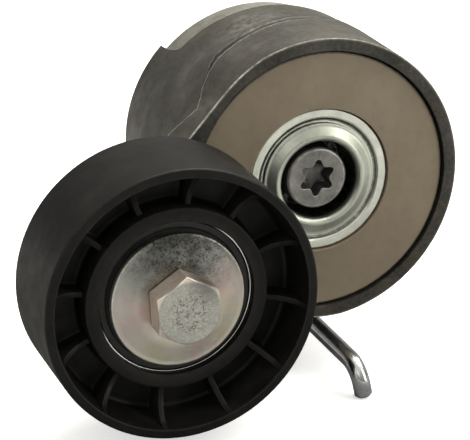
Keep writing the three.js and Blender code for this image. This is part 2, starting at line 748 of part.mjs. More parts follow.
/** Moulded wheel: rim, web, hub with bearing lips, and radial ribs on both sides. */
function pulleyWheel() {
  const rimInner = PULLEY_RADIUS - PULLEY_RIM_WALL;
  const rimRoot = PULLEY_RADIUS - PULLEY_RIM_ROOT_WALL;
  const webHalf = PULLEY_WEB / 2;
  const hubRoot = pulleyHubRadius + 0.5;
  const wheel = turned([
    [PULLEY_LIP_RADIUS, hubRear],
    [pulleyHubRadius, hubRear],
    [hubRoot, pulleyPlane - webHalf],
    [rimRoot, pulleyPlane - webHalf],
    [rimInner, pulleyRear],
    [PULLEY_RADIUS - 0.5, pulleyRear],
    [PULLEY_RADIUS, pulleyRear + 0.5],
    [PULLEY_RADIUS, pulleyFront - 0.5],
    [PULLEY_RADIUS - 0.5, pulleyFront],
    [rimInner, pulleyFront],
    [rimRoot, pulleyPlane + webHalf],
    [hubRoot, pulleyPlane + webHalf],
    [pulleyHubRadius, hubFront],
    [PULLEY_LIP_RADIUS, hubFront],
    [PULLEY_LIP_RADIUS, bearingFront + SEAT_GAP],
    [pulleyHubBore, bearingFront + SEAT_GAP],
    [pulleyHubBore, bearingRear - SEAT_GAP],
    [PULLEY_LIP_RADIUS, bearingRear - SEAT_GAP],
  ]);
  const hubSide = pulleyHubRadius - PULLEY_HUB_WALL / 2;
  const rimSide = rimInner + 0.6;
  const hubStand = hubFront - RIB_HUB_DROP - pulleyPlane;
  const rimStand = pulleyFront - RIB_RIM_DROP - pulleyPlane;
  const dip = new THREE.Vector2((hubSide + rimSide) / 2, hubStand - RIB_DIP);
  const outline = new THREE.Shape();
  outline.moveTo(hubSide, -hubStand);
  outline.quadraticCurveTo(dip.x, -dip.y, rimSide, -rimStand);
  outline.lineTo(rimSide, rimStand);
  outline.quadraticCurveTo(dip.x, dip.y, hubSide, hubStand);
  outline.closePath();
  const ribs = Array.from({ length: PULLEY_RIB_COUNT }, (_, i) =>
    plate(outline, -PULLEY_RIB_WIDTH / 2, PULLEY_RIB_WIDTH / 2, 4)
      .rotateX(Math.PI / 2)
      .translate(0, 0, pulleyPlane)
      .rotateZ(rad((360 / PULLEY_RIB_COUNT) * i + PULLEY_RIB_PHASE)),
  );
  return join(wheel, ...ribs);
}

/** Bearing ring held in the pulley's hub, with a seat for a seal on each side. */
function bearingOuterRing() {
  const land = BALL_ORBIT + RING_LAND;
  const seat = SEAL_THICKNESS + 2 * SEAL_RECESS;
  return turned([
    [BEARING_OUTER_RADIUS - 0.5, bearingRear],
    [BEARING_OUTER_RADIUS, bearingRear + 0.5],
    [BEARING_OUTER_RADIUS, bearingFront - 0.5],
    [BEARING_OUTER_RADIUS - 0.5, bearingFront],
    [SEAL_SEAT_RADIUS, bearingFront],
    [SEAL_SEAT_RADIUS, bearingFront - seat],
    [land, bearingFront - seat],
    ...groove(1, bearingFront, bearingRear),
    [land, bearingRear + seat],
    [SEAL_SEAT_RADIUS, bearingRear + seat],
    [SEAL_SEAT_RADIUS, bearingRear],
  ]);
}

/** Rubber seal in the outer ring, clear of the inner ring. */
function bearingSeal(rear) {
  const inner = BALL_ORBIT - RING_LAND + RUN_GAP;
  return ring(inner, SEAL_SEAT_RADIUS - SEAT_GAP, rear, rear + SEAL_THICKNESS, ROUND_INNER);
}

/** Direction of a ball about the pulley axis. */
const ballAngle = (index) => (360 / BALL_COUNT) * index;

/** Ring that spaces the balls, with a round pocket for each. */
function bearingCage() {
  const inner = BALL_ORBIT - CAGE_WALL / 2;
  const outer = BALL_ORBIT + CAGE_WALL / 2;
  const half = CAGE_HEIGHT / 2;
  const body = ring(inner, outer, pulleyPlane - half, pulleyPlane + half, ROUND);
  const pockets = Array.from({ length: BALL_COUNT }, (_, i) =>
    bar(BALL_RADIUS + BALL_GAP, inner - 2, outer + 2, ROUND_SMALL)
      .rotateY(Math.PI / 2)
      .translate(0, 0, pulleyPlane)
      .rotateZ(rad(ballAngle(i))),
  );
  return cut(body, ...pockets);
}

/** One bearing ball. */
function ball(index) {
  const centre = polar(BALL_ORBIT, ballAngle(index));
  return new THREE.SphereGeometry(BALL_RADIUS, 10, 7).translate(centre.x, centre.y, pulleyPlane);
}

// ----------------------------------------------------------------- assembly

const base = new THREE.Group();
piece(base, "base_housing", baseHousing(), castAluminium());
piece(base, "locating_peg", locatingPeg(), zincSteel());
piece(base, "pivot_tube", pivotTube(), zincSteel());
piece(base, "bolt_retainer", boltRetainer(), palePlastic());
piece(base, "mounting_bolt", mountingBolt(), darkSteel());
piece(base, "retaining_dish", retainingDish(), zincSteel());
piece(base, "friction_disc", frictionDisc(), beigePlastic());
piece(base, "thrust_washer", thrustWasher(), palePlastic());
piece(base, "labyrinth_ring", labyrinthRing(), blackPlastic());
piece(base, "torsion_spring", torsionSpring(), springSteel());

const arm = new THREE.Group();
piece(arm, "arm_casting", armCasting(), castAluminium());
piece(arm, "pivot_bush", pivotBush(), palePlastic());
piece(arm, "spring_sleeve", springSleeve(), blackPlastic());
piece(arm, "locking_pin", lockingPin(), zincSteel());

const wheel = new THREE.Group();
const wheelCentre = polar(CENTRE_DISTANCE, ARM_ANGLE);
wheel.position.set(wheelCentre.x, wheelCentre.y, 0);
piece(wheel, "rear_shield", rearShield(), zincSteel());
piece(wheel, "bearing_inner_ring", bearingInnerRing(), bearingSteel());
piece(wheel, "dished_washer", dishedWasher(), zincSteel());
piece(wheel, "pulley_bolt", pulleyBolt(), zincSteel());
piece(wheel, "bearing_cage", bearingCage(), palePlastic());
for (let i = 0; i < BALL_COUNT; i++) {
  piece(wheel, `ball_${i + 1}`, ball(i), bearingSteel());
}
piece(wheel, "pulley_wheel", pulleyWheel(), blackPlastic());
piece(wheel, "bearing_outer_ring", bearingOuterRing(), bearingSteel());
piece(wheel, "rear_seal", bearingSeal(bearingRear + SEAL_RECESS), sealRubber());
piece(wheel, "front_seal", bearingSeal(bearingFront - SEAL_RECESS - SEAL_THICKNESS), sealRubber());

const tensioner = new THREE.Group();
tensioner.rotation.x = Math.PI / 2;
tensioner.add(base, arm, wheel);

const part = new THREE.Group();
part.add(tensioner);

export default part;
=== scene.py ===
"""Belt tensioner with a ribbed idler pulley, a sprung arm and a bent locking pin.

Every shape is worked out in an axial frame: x to the right, y up and z forward along the pivot
axis from the mounting face, in millimetres and degrees. `Seat.place` turns that frame into the
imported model's own, in metres, where the front of the tensioner faces -Y and +Z is up.
"""

import enum
import json
import logging
import math
from dataclasses import dataclass
from typing import Sequence

import bmesh
import bpy
import numpy as np
from mathutils import Matrix, Vector

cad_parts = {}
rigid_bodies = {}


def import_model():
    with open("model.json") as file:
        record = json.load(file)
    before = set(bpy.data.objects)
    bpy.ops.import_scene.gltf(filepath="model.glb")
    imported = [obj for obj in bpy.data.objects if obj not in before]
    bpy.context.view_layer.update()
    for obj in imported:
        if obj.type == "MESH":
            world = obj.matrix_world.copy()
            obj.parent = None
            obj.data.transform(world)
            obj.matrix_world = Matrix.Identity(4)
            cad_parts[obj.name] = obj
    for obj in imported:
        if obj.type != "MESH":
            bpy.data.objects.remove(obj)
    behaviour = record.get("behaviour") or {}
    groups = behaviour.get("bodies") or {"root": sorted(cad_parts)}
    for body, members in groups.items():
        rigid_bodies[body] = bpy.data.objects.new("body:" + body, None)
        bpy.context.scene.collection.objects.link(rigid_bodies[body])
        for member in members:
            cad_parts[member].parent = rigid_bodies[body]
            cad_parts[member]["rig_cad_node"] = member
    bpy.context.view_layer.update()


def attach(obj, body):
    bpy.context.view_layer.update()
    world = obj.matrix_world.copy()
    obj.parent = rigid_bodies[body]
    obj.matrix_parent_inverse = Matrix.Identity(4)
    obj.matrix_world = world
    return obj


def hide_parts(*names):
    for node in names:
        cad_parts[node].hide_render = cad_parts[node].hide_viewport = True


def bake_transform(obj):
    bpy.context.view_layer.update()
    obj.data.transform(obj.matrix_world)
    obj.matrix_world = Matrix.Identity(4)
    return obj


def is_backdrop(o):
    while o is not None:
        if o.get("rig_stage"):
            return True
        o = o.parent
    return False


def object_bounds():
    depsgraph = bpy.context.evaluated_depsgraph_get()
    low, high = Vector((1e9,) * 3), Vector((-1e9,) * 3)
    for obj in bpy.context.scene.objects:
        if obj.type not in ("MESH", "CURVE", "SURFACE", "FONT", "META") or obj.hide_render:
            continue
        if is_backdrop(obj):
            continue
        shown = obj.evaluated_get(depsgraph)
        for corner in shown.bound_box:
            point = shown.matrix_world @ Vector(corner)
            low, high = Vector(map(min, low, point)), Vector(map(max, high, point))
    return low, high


FloatArray = np.ndarray
Colour = tuple[float, float, float]
Point = tuple[float, float]

log = logging.getLogger("tensioner")

MM = 0.001  # metres in a millimetre

ROUNDING_LIMIT = 0.42  # share of its shorter side that a corner's rounding may take
SUPPORT = 0.25  # largest distance from an arc to the row that keeps the flat beside it flat
SUPPORT_SHARE = 0.05  # the same as a share of the corner's shorter side
FULL_BEND = math.radians(60)  # bend at which an edge counts as fully sharp
SMOOTH_BELOW = math.radians(38)  # faces that meet at a smaller angle are shaded as one surface
BLOCK_SOFTNESS = 40.0  # power mean of a block's upright edges

THREAD_PITCH = 1.5
THREAD_RADIUS = 5.0
THREAD_DEPTH = 0.54  # of the pitch
THREAD_ROWS = 8  # to a pitch
BOLT_CLEARANCE = 5.3  # radius of the hole for an M10 bolt
RUN_GAP = 0.3  # between pieces that turn past each other


# ------------------------------------------------------------------ geometry


@dataclass(frozen=True)
class Seat:
    """Where a piece's own frame stands in the axial frame.

    Args:
        origin: The seat's origin, in millimetres.
        x_axis: Direction of the seat's x axis.
        y_axis: Direction of the seat's y axis; z is their cross product.
    """

    origin: tuple[float, float, float] = (0.0, 0.0, 0.0)
    x_axis: tuple[float, float, float] = (1.0, 0.0, 0.0)
    y_axis: tuple[float, float, float] = (0.0, 1.0, 0.0)

    @classmethod
    def turned(cls, x: float, y: float, angle: float) -> "Seat":
        """A seat at (x, y) on the z = 0 plane, turned about its z axis by an angle in degrees."""
        c, s = math.cos(math.radians(angle)), math.sin(math.radians(angle))
        return cls((x, y, 0.0), (c, s, 0.0), (-s, c, 0.0))

    def place(self, points: FloatArray) -> FloatArray:
        """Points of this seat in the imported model's frame.

        Args:
            points: Array of shape (..., 3), in millimetres.

        Returns:
            An array of the same shape, in metres: (x, y, z) axial becomes (x, -z, y).
        """
        x_axis, y_axis = np.array(self.x_axis), np.array(self.y_axis)
        basis = np.stack([x_axis, y_axis, np.cross(x_axis, y_axis)])
        axial = points @ basis + np.array(self.origin)
        return np.stack([axial[..., 0], -axial[..., 2], axial[..., 1]], axis=-1) * MM


def polar(radius: float, angle: float) -> tuple[float, float]:
    """The point at a radius and an angle in degrees."""
    return radius * math.cos(math.radians(angle)), radius * math.sin(math.radians(angle))


@dataclass(frozen=True)
class Corner:
    """One corner of an outline in (radius, height).

    Args:
        radius: Distance from the axis, a number or one value per column.
        height: Height along the axis, a number or one value per column.
        blend: How far the rounding reaches back from the corner along its sides.
        tone: Edge value of the corner, or one per column: None lets its bend decide, 1 is a worn
        and painted lit edge, and -1 is full painted shade, as in a recess.
    """

    radius: float | FloatArray
    height: float | FloatArray
    blend: float = 0.0
    tone: float | FloatArray | None = None


@dataclass
class Patch:
    """A closed grid of points, with how sharp the surface bends there.

    Args:
        points: Array (rows, columns, 3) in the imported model's frame.
        edge: Array (rows, columns): 1 on a convex edge, -1 in a concave one, 0 elsewhere.
        loop: True if the last row joins the first.
    """

    points: FloatArray
    edge: FloatArray
    loop: bool


def around(columns: int) -> FloatArray:
    """Evenly spaced angles round a full turn, in radians, without the last."""
    return np.linspace(0.0, 2 * np.pi, columns, endpoint=False)


def rounded(
    outline: Sequence[Corner], columns: int, loop: bool, steps: int = 4,
) -> tuple[FloatArray, FloatArray]:
    """Rounds the corners of an outline, one outline per column.

    Each corner P becomes a quadratic arc from A to B, (1-t)^2 A + 2t(1-t) P + t^2 B, where A and
    B lie on its two sides at the blend distance, with one more point just outside each end, which
    keeps the flats between corners flat when the mesh is shaded smooth. A dark tone spreads over
    the flats beside it, and any other tone stays on the arc.

    Args:
        outline: The outline's corners, in order.
        columns: Number of columns to spread each value over.
        loop: True if the outline is closed.
        steps: Number of spans in each arc.

    Returns:
        (rows, columns, 2) radii and heights, and (rows, columns) edge values.
    """
    point = np.stack([
        np.stack([np.broadcast_to(np.asarray(v, float), columns) for v in (c.radius, c.height)], -1)
        for c in outline
    ])
    before = point - np.roll(point, 1, axis=0)
    after = np.roll(point, -1, axis=0) - point
    length_before = np.linalg.norm(before, axis=-1)
    length_after = np.linalg.norm(after, axis=-1)
    shorter = np.minimum(length_before, length_after)
    toward = before / np.maximum(length_before, 1e-9)[..., None]
    onward = after / np.maximum(length_after, 1e-9)[..., None]
    cross = toward[..., 0] * onward[..., 1] - toward[..., 1] * onward[..., 0]
    turn = np.arctan2(cross, (toward * onward).sum(-1))
    blend = np.array([c.blend for c in outline])[:, None]
    reach = np.minimum(np.broadcast_to(blend, turn.shape), ROUNDING_LIMIT * shorter)
    margin = np.minimum(SUPPORT, SUPPORT_SHARE * shorter)
    if not loop:
        for end in (0, -1):
            reach[end], margin[end], turn[end] = 0.0, 0.0, 0.0
    t = np.linspace(0.0, 1.0, steps + 1)[None, :, None, None]
    start = (point - toward * reach[..., None])[:, None]
    stop = (point + onward * reach[..., None])[:, None]
    arc = (1 - t) ** 2 * start + 2 * t * (1 - t) * point[:, None] + t**2 * stop
    outer = (point - toward * (reach + margin)[..., None])[:, None]
    final = (point + onward * (reach + margin)[..., None])[:, None]
    rows = np.concatenate([outer, arc, final], axis=1)
    sharp = np.clip(turn / FULL_BEND, -1, 1)[:, None] * np.ones((1, steps + 3, 1))
    sharp[:, [0, -1]] = 0.0
    for row, corner in zip(sharp, outline):
        if corner.tone is not None:
            row[1:-1] = corner.tone
            row[[0, -1]] = np.minimum(corner.tone, 0.0)
    return rows.reshape(-1, columns, 2), sharp.reshape(-1, columns)


def revolve(
    outline: Sequence[Corner],
    angles: FloatArray | int = 144,
    seat: Seat = Seat(),
    loop: bool = True,
    steps: int = 4,
) -> Patch:
    """Carries an outline round an axis: x = r cos a, y = r sin a, z = height.

    The radius and height of a corner may differ from column to column, so one call also makes
    hexagons, lobed sockets, ears and cast outlines.

    Args:
        outline: The outline, counterclockwise in (radius, height).
        angles: The angles of the columns in radians, or how many even ones.
        seat: Where the axis stands.
        loop: False if both ends of the outline lie on the axis.
        steps: Spans in each rounded corner.

    Returns:
        The closed patch.
    """
    if isinstance(angles, int):
        angles = around(angles)
    rows, edge = rounded(outline, len(angles), loop, steps)
    radius, height = rows[..., 0], rows[..., 1]
    points = np.stack([radius * np.cos(angles), radius * np.sin(angles), height], axis=-1)
    return Patch(seat.place(points), edge, loop)


def convex_radius(angles: FloatArray, shape: Sequence[Point], softness: float) -> FloatArray:
    """Distance from the origin to a convex outline in each direction.

    Each side with unit normal n at distance d gives d / (n . direction) where it faces that way.
    The sides are joined by the smallest of them, softened as a power mean, which rounds corners.

    Args:
        angles: Directions, in radians.
        shape: The outline's corners, counterclockwise about the origin.
        softness: Exponent of the power mean; larger is sharper.

    Returns:
        One distance per direction.
    """
    point = np.array(shape, float)
    side = np.roll(point, -1, axis=0) - point
    normal = np.stack([side[:, 1], -side[:, 0]], axis=-1)
    normal /= np.linalg.norm(normal, axis=1)[:, None]
    distance = (normal * point).sum(axis=1)
    facing = normal @ np.stack([np.cos(angles), np.sin(angles)])
    inverse = np.maximum(facing, 0.0) / distance[:, None]
    return (inverse**softness).sum(axis=0) ** (-1.0 / softness)


def block(
    shape: Sequence[Point],
    rear: float,
    front: float,
    seat: Seat = Seat(),
    blend: float = 0.5,
    columns: int = 96,
) -> Patch:
    """A flat-faced block over a convex outline, with its edges rounded.

    Args:
        shape: The outline in the seat's x and y, counterclockwise.
        rear: Height of the lower face.
        front: Height of the upper face.
        seat: Where the block stands.
        blend: Size of the rounding.
        columns: Number of columns round it.

    Returns:
        The closed patch, made as a revolved outline about the mean of the shape's corners.
    """
    centre = np.mean(shape, axis=0)
    angles = around(columns)
    radius = convex_radius(angles, [(x - centre[0], y - centre[1]) for x, y in shape], BLOCK_SOFTNESS)
    basis_x, basis_y = np.array(seat.x_axis), np.array(seat.y_axis)
    origin = np.array(seat.origin) + centre[0] * basis_x + centre[1] * basis_y
    moved = Seat(tuple(origin), seat.x_axis, seat.y_axis)
    outline = corners((0, rear), (radius, rear, blend), (radius, front, blend), (0, front))
    return revolve(outline, angles, moved, loop=False)


def tube(path: FloatArray, radius: FloatArray, reference: FloatArray, sides: int = 24) -> Patch:
    """A round rod along a path.

    At each point two directions at right angles to the path come from its tangent and a
    reference direction, and the section is path + radius (cos b * side + sin b * up). The first
    and last radius are zero, which closes the ends.

    Args:
        path: (n, 3) points in the axial frame.
        radius: (n,) radii.
        reference: (n, 3) or (3,) directions that are never along the path.
        sides: Number of columns round the rod.

    Returns:
        The closed patch.
    """
    tangent = np.gradient(path, axis=0)
    tangent[0], tangent[-1] = tangent[3], tangent[-4]
    tangent[1], tangent[-2] = tangent[3], tangent[-4]
    tangent /= np.linalg.norm(tangent, axis=1)[:, None]
    side = np.cross(tangent, np.broadcast_to(reference, path.shape))
    side /= np.linalg.norm(side, axis=1)[:, None]
    up = np.cross(side, tangent)
    turn = around(sides)
    ring = side[:, None] * np.cos(turn)[:, None] + up[:, None] * np.sin(turn)[:, None]
    points = path[:, None] + radius[:, None, None] * ring
    bend = np.clip(np.abs(np.gradient(radius)) * 2, 0, 1)[:, None] * np.ones(sides)
    return Patch(Seat().place(points), bend, loop=False)


def sphere(centre: tuple[float, float, float], radius: float, rows: int = 17, columns: int = 32) -> Patch:
    """A ball: r = R cos b and z = R sin b, with b from -90 to 90 degrees."""
    latitude = np.linspace(-np.pi / 2, np.pi / 2, rows)[:, None]
    turn = around(columns)
    ring = radius * np.cos(latitude)
    height = np.broadcast_to(radius * np.sin(latitude), (rows, columns))
    points = np.stack([ring * np.cos(turn), ring * np.sin(turn), height], -1)
    return Patch(Seat(centre).place(points), np.zeros((rows, columns)), loop=False)


def thread_corners(start: float, stop: float, angles: FloatArray) -> list[Corner]:
    """Rows of an M10 screw thread as outline corners without rounding.

    The depth at height z and angle a is a triangle wave of z / pitch - a / 360, flattened at the
    crest and at the root, and it fades out over one pitch at each end.

    Args:
        start: Height where it begins.
        stop: Height where it ends.
        angles: Angles of the columns, in radians.

    Returns:
        One corner per row, from start to stop.
    """
    heights = np.linspace(start, stop, int((stop - start) / THREAD_PITCH * THREAD_ROWS))
    phase = (heights[:, None] / THREAD_PITCH - angles[None, :] / (2 * np.pi)) % 1.0
    wave = np.clip(1.25 - np.abs(2 * phase - 1) * 1.6, 0.0, 1.0)
    span = np.minimum(heights - start, stop - heights) / THREAD_PITCH
    depth = THREAD_DEPTH * THREAD_PITCH * wave * np.clip(span, 0, 1)[:, None]
    return [Corner(THREAD_RADIUS - d, h) for d, h in zip(depth, heights)]


def corners(*rows: tuple) -> list[Corner]:
    """Outline corners from plain rows of radius, height, blend and tone."""
    return [Corner(*row) for row in rows]


def rectangle(left: float, right: float, low: float, high: float) -> list[Point]:
    """Corners of a rectangle, counterclockwise."""
    return [(left, low), (right, low), (right, high), (left, high)]


def sector(inner: float, outer: float, start: float, span: float) -> list[Point]:
    """Corners of a short stretch of ring with straight sides, its angles in degrees."""
    stop = start + span
    return [polar(inner, start), polar(outer, start), polar(outer, stop), polar(inner, stop)]


def band(inner: float, outer: float, rear: float, front: float, blend: float) -> list[Corner]:
    """Outline of a plain ring, with its four edges rounded alike."""
    return [Corner(*place, blend) for place in rectangle(inner, outer, rear, front)]


# ----------------------------------------------------------------- materials

Socket = bpy.types.NodeSocket
Value = Socket | float | Colour


def map_range(
    tree: bpy.types.NodeTree, value: Socket, low: float, high: float, out_low: float, out_high: float,
) -> Socket:
    """Adds a node that maps low..high to out_low..out_high, clamped."""
    made = tree.nodes.new("ShaderNodeMapRange")
    tree.links.new(value, made.inputs["Value"])
    limits = {"From Min": low, "From Max": high, "To Min": out_low, "To Max": out_high}
    for name, number in limits.items():
        made.inputs[name].default_value = number
    return made.outputs["Result"]


class Grain(enum.Enum):
    """How the surface of a material was made, which sets its fine relief."""

    CAST = "blasted casting"
    PLATED = "plated sheet or bar"
    GROUND = "ground steel"
    MOULDED = "moulded plastic"
    PRESSED = "pressed friction compound"


class Pattern(enum.Enum):
    """What a finish shows besides its patches, its worn and lit edges and its painted corner shade."""

    PLAIN = "nothing more"
    CASTING = "stains and a scuff"
    # The washer pattern also paints reflections, dark above and bright below.
    WASHER = "a tinted film with a dull place"
    # The hexagon pattern also paints a dark reflection at the head's upper right.
    HEXAGON = "a marked face on a tinted head"


@dataclass(frozen=True)
class Finish:
    """A material, with its colours, its relief, its wear with painted edge highlights and its painted corner
    shade.

    Args:
        name: Name of the material.
        slot: The record's material slot; not used.
        base: Main colour, linear.
        dark: Colour of the darker patches.
        light: Colour of the lighter patches.
        metallic: 1 for metal and 0 for the rest.
        roughness: Mean roughness.
        spread: How far the roughness strays from its mean.
        grain: How the surface was made.
        relief: Depth of the fine relief, in millimetres.
        patch: Size of the colour patches, in millimetres.
        worn_and_lit: Colour of worn convex edges, which also stands for their painted highlight.
        wear_and_highlight: How strongly convex edges show that colour, as wear and painted highlight.
        painted_shade: How strongly concave corners and recesses darken with painted shade.
        specular: Strength of a plastic's own gloss.
        pattern: What else the finish shows.
    """

    name: str
    slot: str
    base: Colour
    dark: Colour
    light: Colour
    metallic: float
    roughness: float
    spread: float
    grain: Grain
    relief: float
    patch: float
    worn_and_lit: Colour
    wear_and_highlight: float
    painted_shade: float
    specular: float = 0.5
    pattern: Pattern = Pattern.PLAIN

    def material(self) -> bpy.types.Material:
        """Builds the material, or returns the one already built under this name."""
        known = bpy.data.materials.get(self.name)
        return known if known is not None else PATTERN_NODES[self.pattern](self).build()


class FinishNodes:
    """Builds the shader nodes of one finish, all on Object coordinates and the edge attribute."""

    # Painted shade: the colour that concave corners and recesses darken towards.
    PAINTED_SHADE_COLOUR = (0.01, 0.009, 0.008)

    def __init__(self, finish: Finish) -> None:
        """Makes the empty material.

        Args:
            finish: The finish to build.
        """
        self.finish = finish
        self.material = bpy.data.materials.new(finish.name)
        self.material.use_nodes = True
        self.tree = self.material.node_tree
        self.shader = self.tree.nodes["Principled BSDF"]
        self.place = self.tree.nodes.new("ShaderNodeTexCoord").outputs["Object"]

    def feed(self, socket: Socket, value: Value) -> None:
        """Links another node's output to a socket, or sets its value."""
        if isinstance(value, Socket):
            self.tree.links.new(value, socket)
        else:
            socket.default_value = (*value, 1.0) if isinstance(value, tuple) and len(value) == 3 else value

    def noise(
        self, size: float, detail: float = 4.0, rough: float = 0.55, stretch: Colour = (1, 1, 1),
    ) -> Socket:
        """Noise whose features are about `size` millimetres, stretched along the axes."""
        mapping = self.tree.nodes.new("ShaderNodeMapping")
        mapping.inputs["Scale"].default_value = stretch
        self.tree.links.new(self.place, mapping.inputs["Vector"])
        made = self.tree.nodes.new("ShaderNodeTexNoise")
        self.tree.links.new(mapping.outputs["Vector"], made.inputs["Vector"])
        made.inputs["Scale"].default_value = 1.0 / (size * MM)
        made.inputs["Detail"].default_value = detail
        made.inputs["Roughness"].default_value = rough
        return made.outputs["Fac"]

    def cells(self, size: float) -> Socket:
        """Voronoi distance with cells of about `size` millimetres."""
        made = self.tree.nodes.new("ShaderNodeTexVoronoi")
        self.tree.links.new(self.place, made.inputs["Vector"])
        made.inputs["Scale"].default_value = 1.0 / (size * MM)
        return made.outputs["Distance"]

    def level(
        self, value: Socket, low: float, high: float, out_low: float = 0.0, out_high: float = 1.0,
    ) -> Socket:
        """Maps low..high to out_low..out_high, clamped."""
        return map_range(self.tree, value, low, high, out_low, out_high)

    def mix(self, factor: Socket, first: Value, second: Value) -> Socket:
        """Mixes two colours."""
        made = self.tree.nodes.new("ShaderNodeMix")
        made.data_type = "RGBA"
        self.feed(made.inputs[0], factor)
        self.feed(made.inputs[6], first)
        self.feed(made.inputs[7], second)
        return made.outputs[2]

    def math(self, operation: str, first: Value, second: Value) -> Socket:
        """One arithmetic step."""
        made = self.tree.nodes.new("ShaderNodeMath")
        made.operation = operation
        self.feed(made.inputs[0], first)
        self.feed(made.inputs[1], second)
        return made.outputs[0]

    def times(self, first: Value, second: Value) -> Socket:
        """A product."""
        return self.math("MULTIPLY", first, second)

    def edge(self) -> Socket:
        """The mesh's edge attribute: 1 on convex edges and -1 in concave corners."""
        made = self.tree.nodes.new("ShaderNodeAttribute")
        made.attribute_name = "edge"
        return made.outputs["Fac"]

    def blob(self, centre: tuple[float, float, float], radius: float) -> Socket:
        """1 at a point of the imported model's frame, in metres, falling to 0 at a radius in metres."""
        made = self.tree.nodes.new("ShaderNodeVectorMath")
        made.operation = "DISTANCE"
        self.tree.links.new(self.place, made.inputs[0])
        made.inputs[1].default_value = centre
        return self.level(made.outputs["Value"], radius * 0.2, radius, 1.0, 0.0)

    def relief(self) -> Socket:
        """The fine height of the surface, 0 to 1, by how it was made."""
        grain = self.finish.grain
        if grain is Grain.CAST:
            pits = self.level(self.cells(0.9), 0.0, 0.5)
            return self.times(self.noise(0.45, 5.0, 0.65), self.math("ADD", self.times(pits, 0.4), 0.6))
        if grain is Grain.PLATED:
            drawn = self.times(self.noise(0.25, 2.0, 0.5, (1, 0.3, 1)), 0.35)
            return self.math("ADD", self.noise(1.4, 3.0), drawn)
        if grain is Grain.GROUND:
            return self.noise(0.3, 2.0, 0.5, (1, 6, 1))
        if grain is Grain.PRESSED:
            return self.math("ADD", self.noise(0.5, 4.0, 0.6), self.times(self.noise(6.0, 2.0), 0.8))
        return self.math("ADD", self.noise(0.35, 3.0, 0.5), self.times(self.noise(4.0, 2.0), 0.6))

    def colour(self) -> Socket:
        """Patches of dark and light over the base colour, then worn, painted lit edges and painted shade in
        corners.
        """
        finish = self.finish
        broad = self.noise(finish.patch, 3.0, 0.6)
        fine = self.noise(finish.patch / 9, 4.0, 0.6)
        shade = self.mix(self.level(broad, 0.50, 0.30), finish.base, finish.dark)
        shade = self.mix(self.level(broad, 0.52, 0.72), shade, finish.light)
        shade = self.mix(self.level(fine, 0.35, 0.75, 0.0, 0.35), shade, finish.light)
        shade = self.mix(self.level(fine, 0.45, 0.25, 0.0, 0.35), shade, finish.dark)
        # Convex edges take the worn colour: edge wear, and a painted highlight where a corner's tone is set
        # high.
        broken = self.level(self.noise(1.6, 4.0, 0.7), 0.3, 0.62)
        worn_and_lit = self.times(self.level(self.edge(), 0.25, 1.0, 0.0, finish.wear_and_highlight), broken)
        shade = self.mix(worn_and_lit, shade, finish.worn_and_lit)
        # Painted shade: concave corners and recesses darken towards near black, in patches broken up by
        # noise.
        shade_breakup = self.level(self.noise(1.1, 4.0, 0.7), 0.40, 0.56, 0.62, 1.0)
        painted_shade = self.times(self.level(self.edge(), -0.2, -1.0, 0.0, finish.painted_shade), shade_breakup)
        return self.mix(painted_shade, shade, self.PAINTED_SHADE_COLOUR)

    def roughness(self) -> Socket:
        """The finish's roughness, in patches."""
        low, high = self.finish.roughness - self.finish.spread, self.finish.roughness + self.finish.spread
        return self.level(self.noise(self.finish.patch / 3, 5.0, 0.6), 0.3, 0.7, low, high)

    def build(self) -> bpy.types.Material:
        """Wires colour, roughness and bump into the shader.

        Returns:
            The finished material.
        """
        finish = self.finish
        self.feed(self.shader.inputs["Base Color"], self.colour())
        self.shader.inputs["Metallic"].default_value = finish.metallic
        self.shader.inputs["Specular IOR Level"].default_value = finish.specular
        self.feed(self.shader.inputs["Roughness"], self.roughness())
        bump = self.tree.nodes.new("ShaderNodeBump")
        bump.inputs["Strength"].default_value = 1.0
        bump.inputs["Distance"].default_value = finish.relief * MM
        self.feed(bump.inputs["Height"], self.relief())
        self.feed(self.shader.inputs["Normal"], bump.outputs["Normal"])
        return self.material


class CastingNodes(FinishNodes):
    """Blasted casting with brownish stains and a scuffed, brighter place on its upper side."""

    SCUFF = (-0.0095, -0.0225, 0.0350)
    SCUFF_RADIUS = 0.012
    SCUFF_COLOUR = (0.40, 0.375, 0.34)
    DARKER_PATCH_COLOUR = (0.105, 0.085, 0.062)

    def colour(self) -> Socket:
        """The common colours, then stains and the scuff."""
        shade = super().colour()
        darker_patch = self.level(self.noise(11.0, 5.0, 0.65), 0.52, 0.75, 0.0, 0.55)
        shade = self.mix(darker_patch, shade, self.DARKER_PATCH_COLOUR)
        broken = self.level(self.noise(2.2, 5.0, 0.65), 0.38, 0.70)
        rub = self.times(self.blob(self.SCUFF, self.SCUFF_RADIUS), broken)
        return self.mix(self.times(rub, 0.5), shade, self.SCUFF_COLOUR)


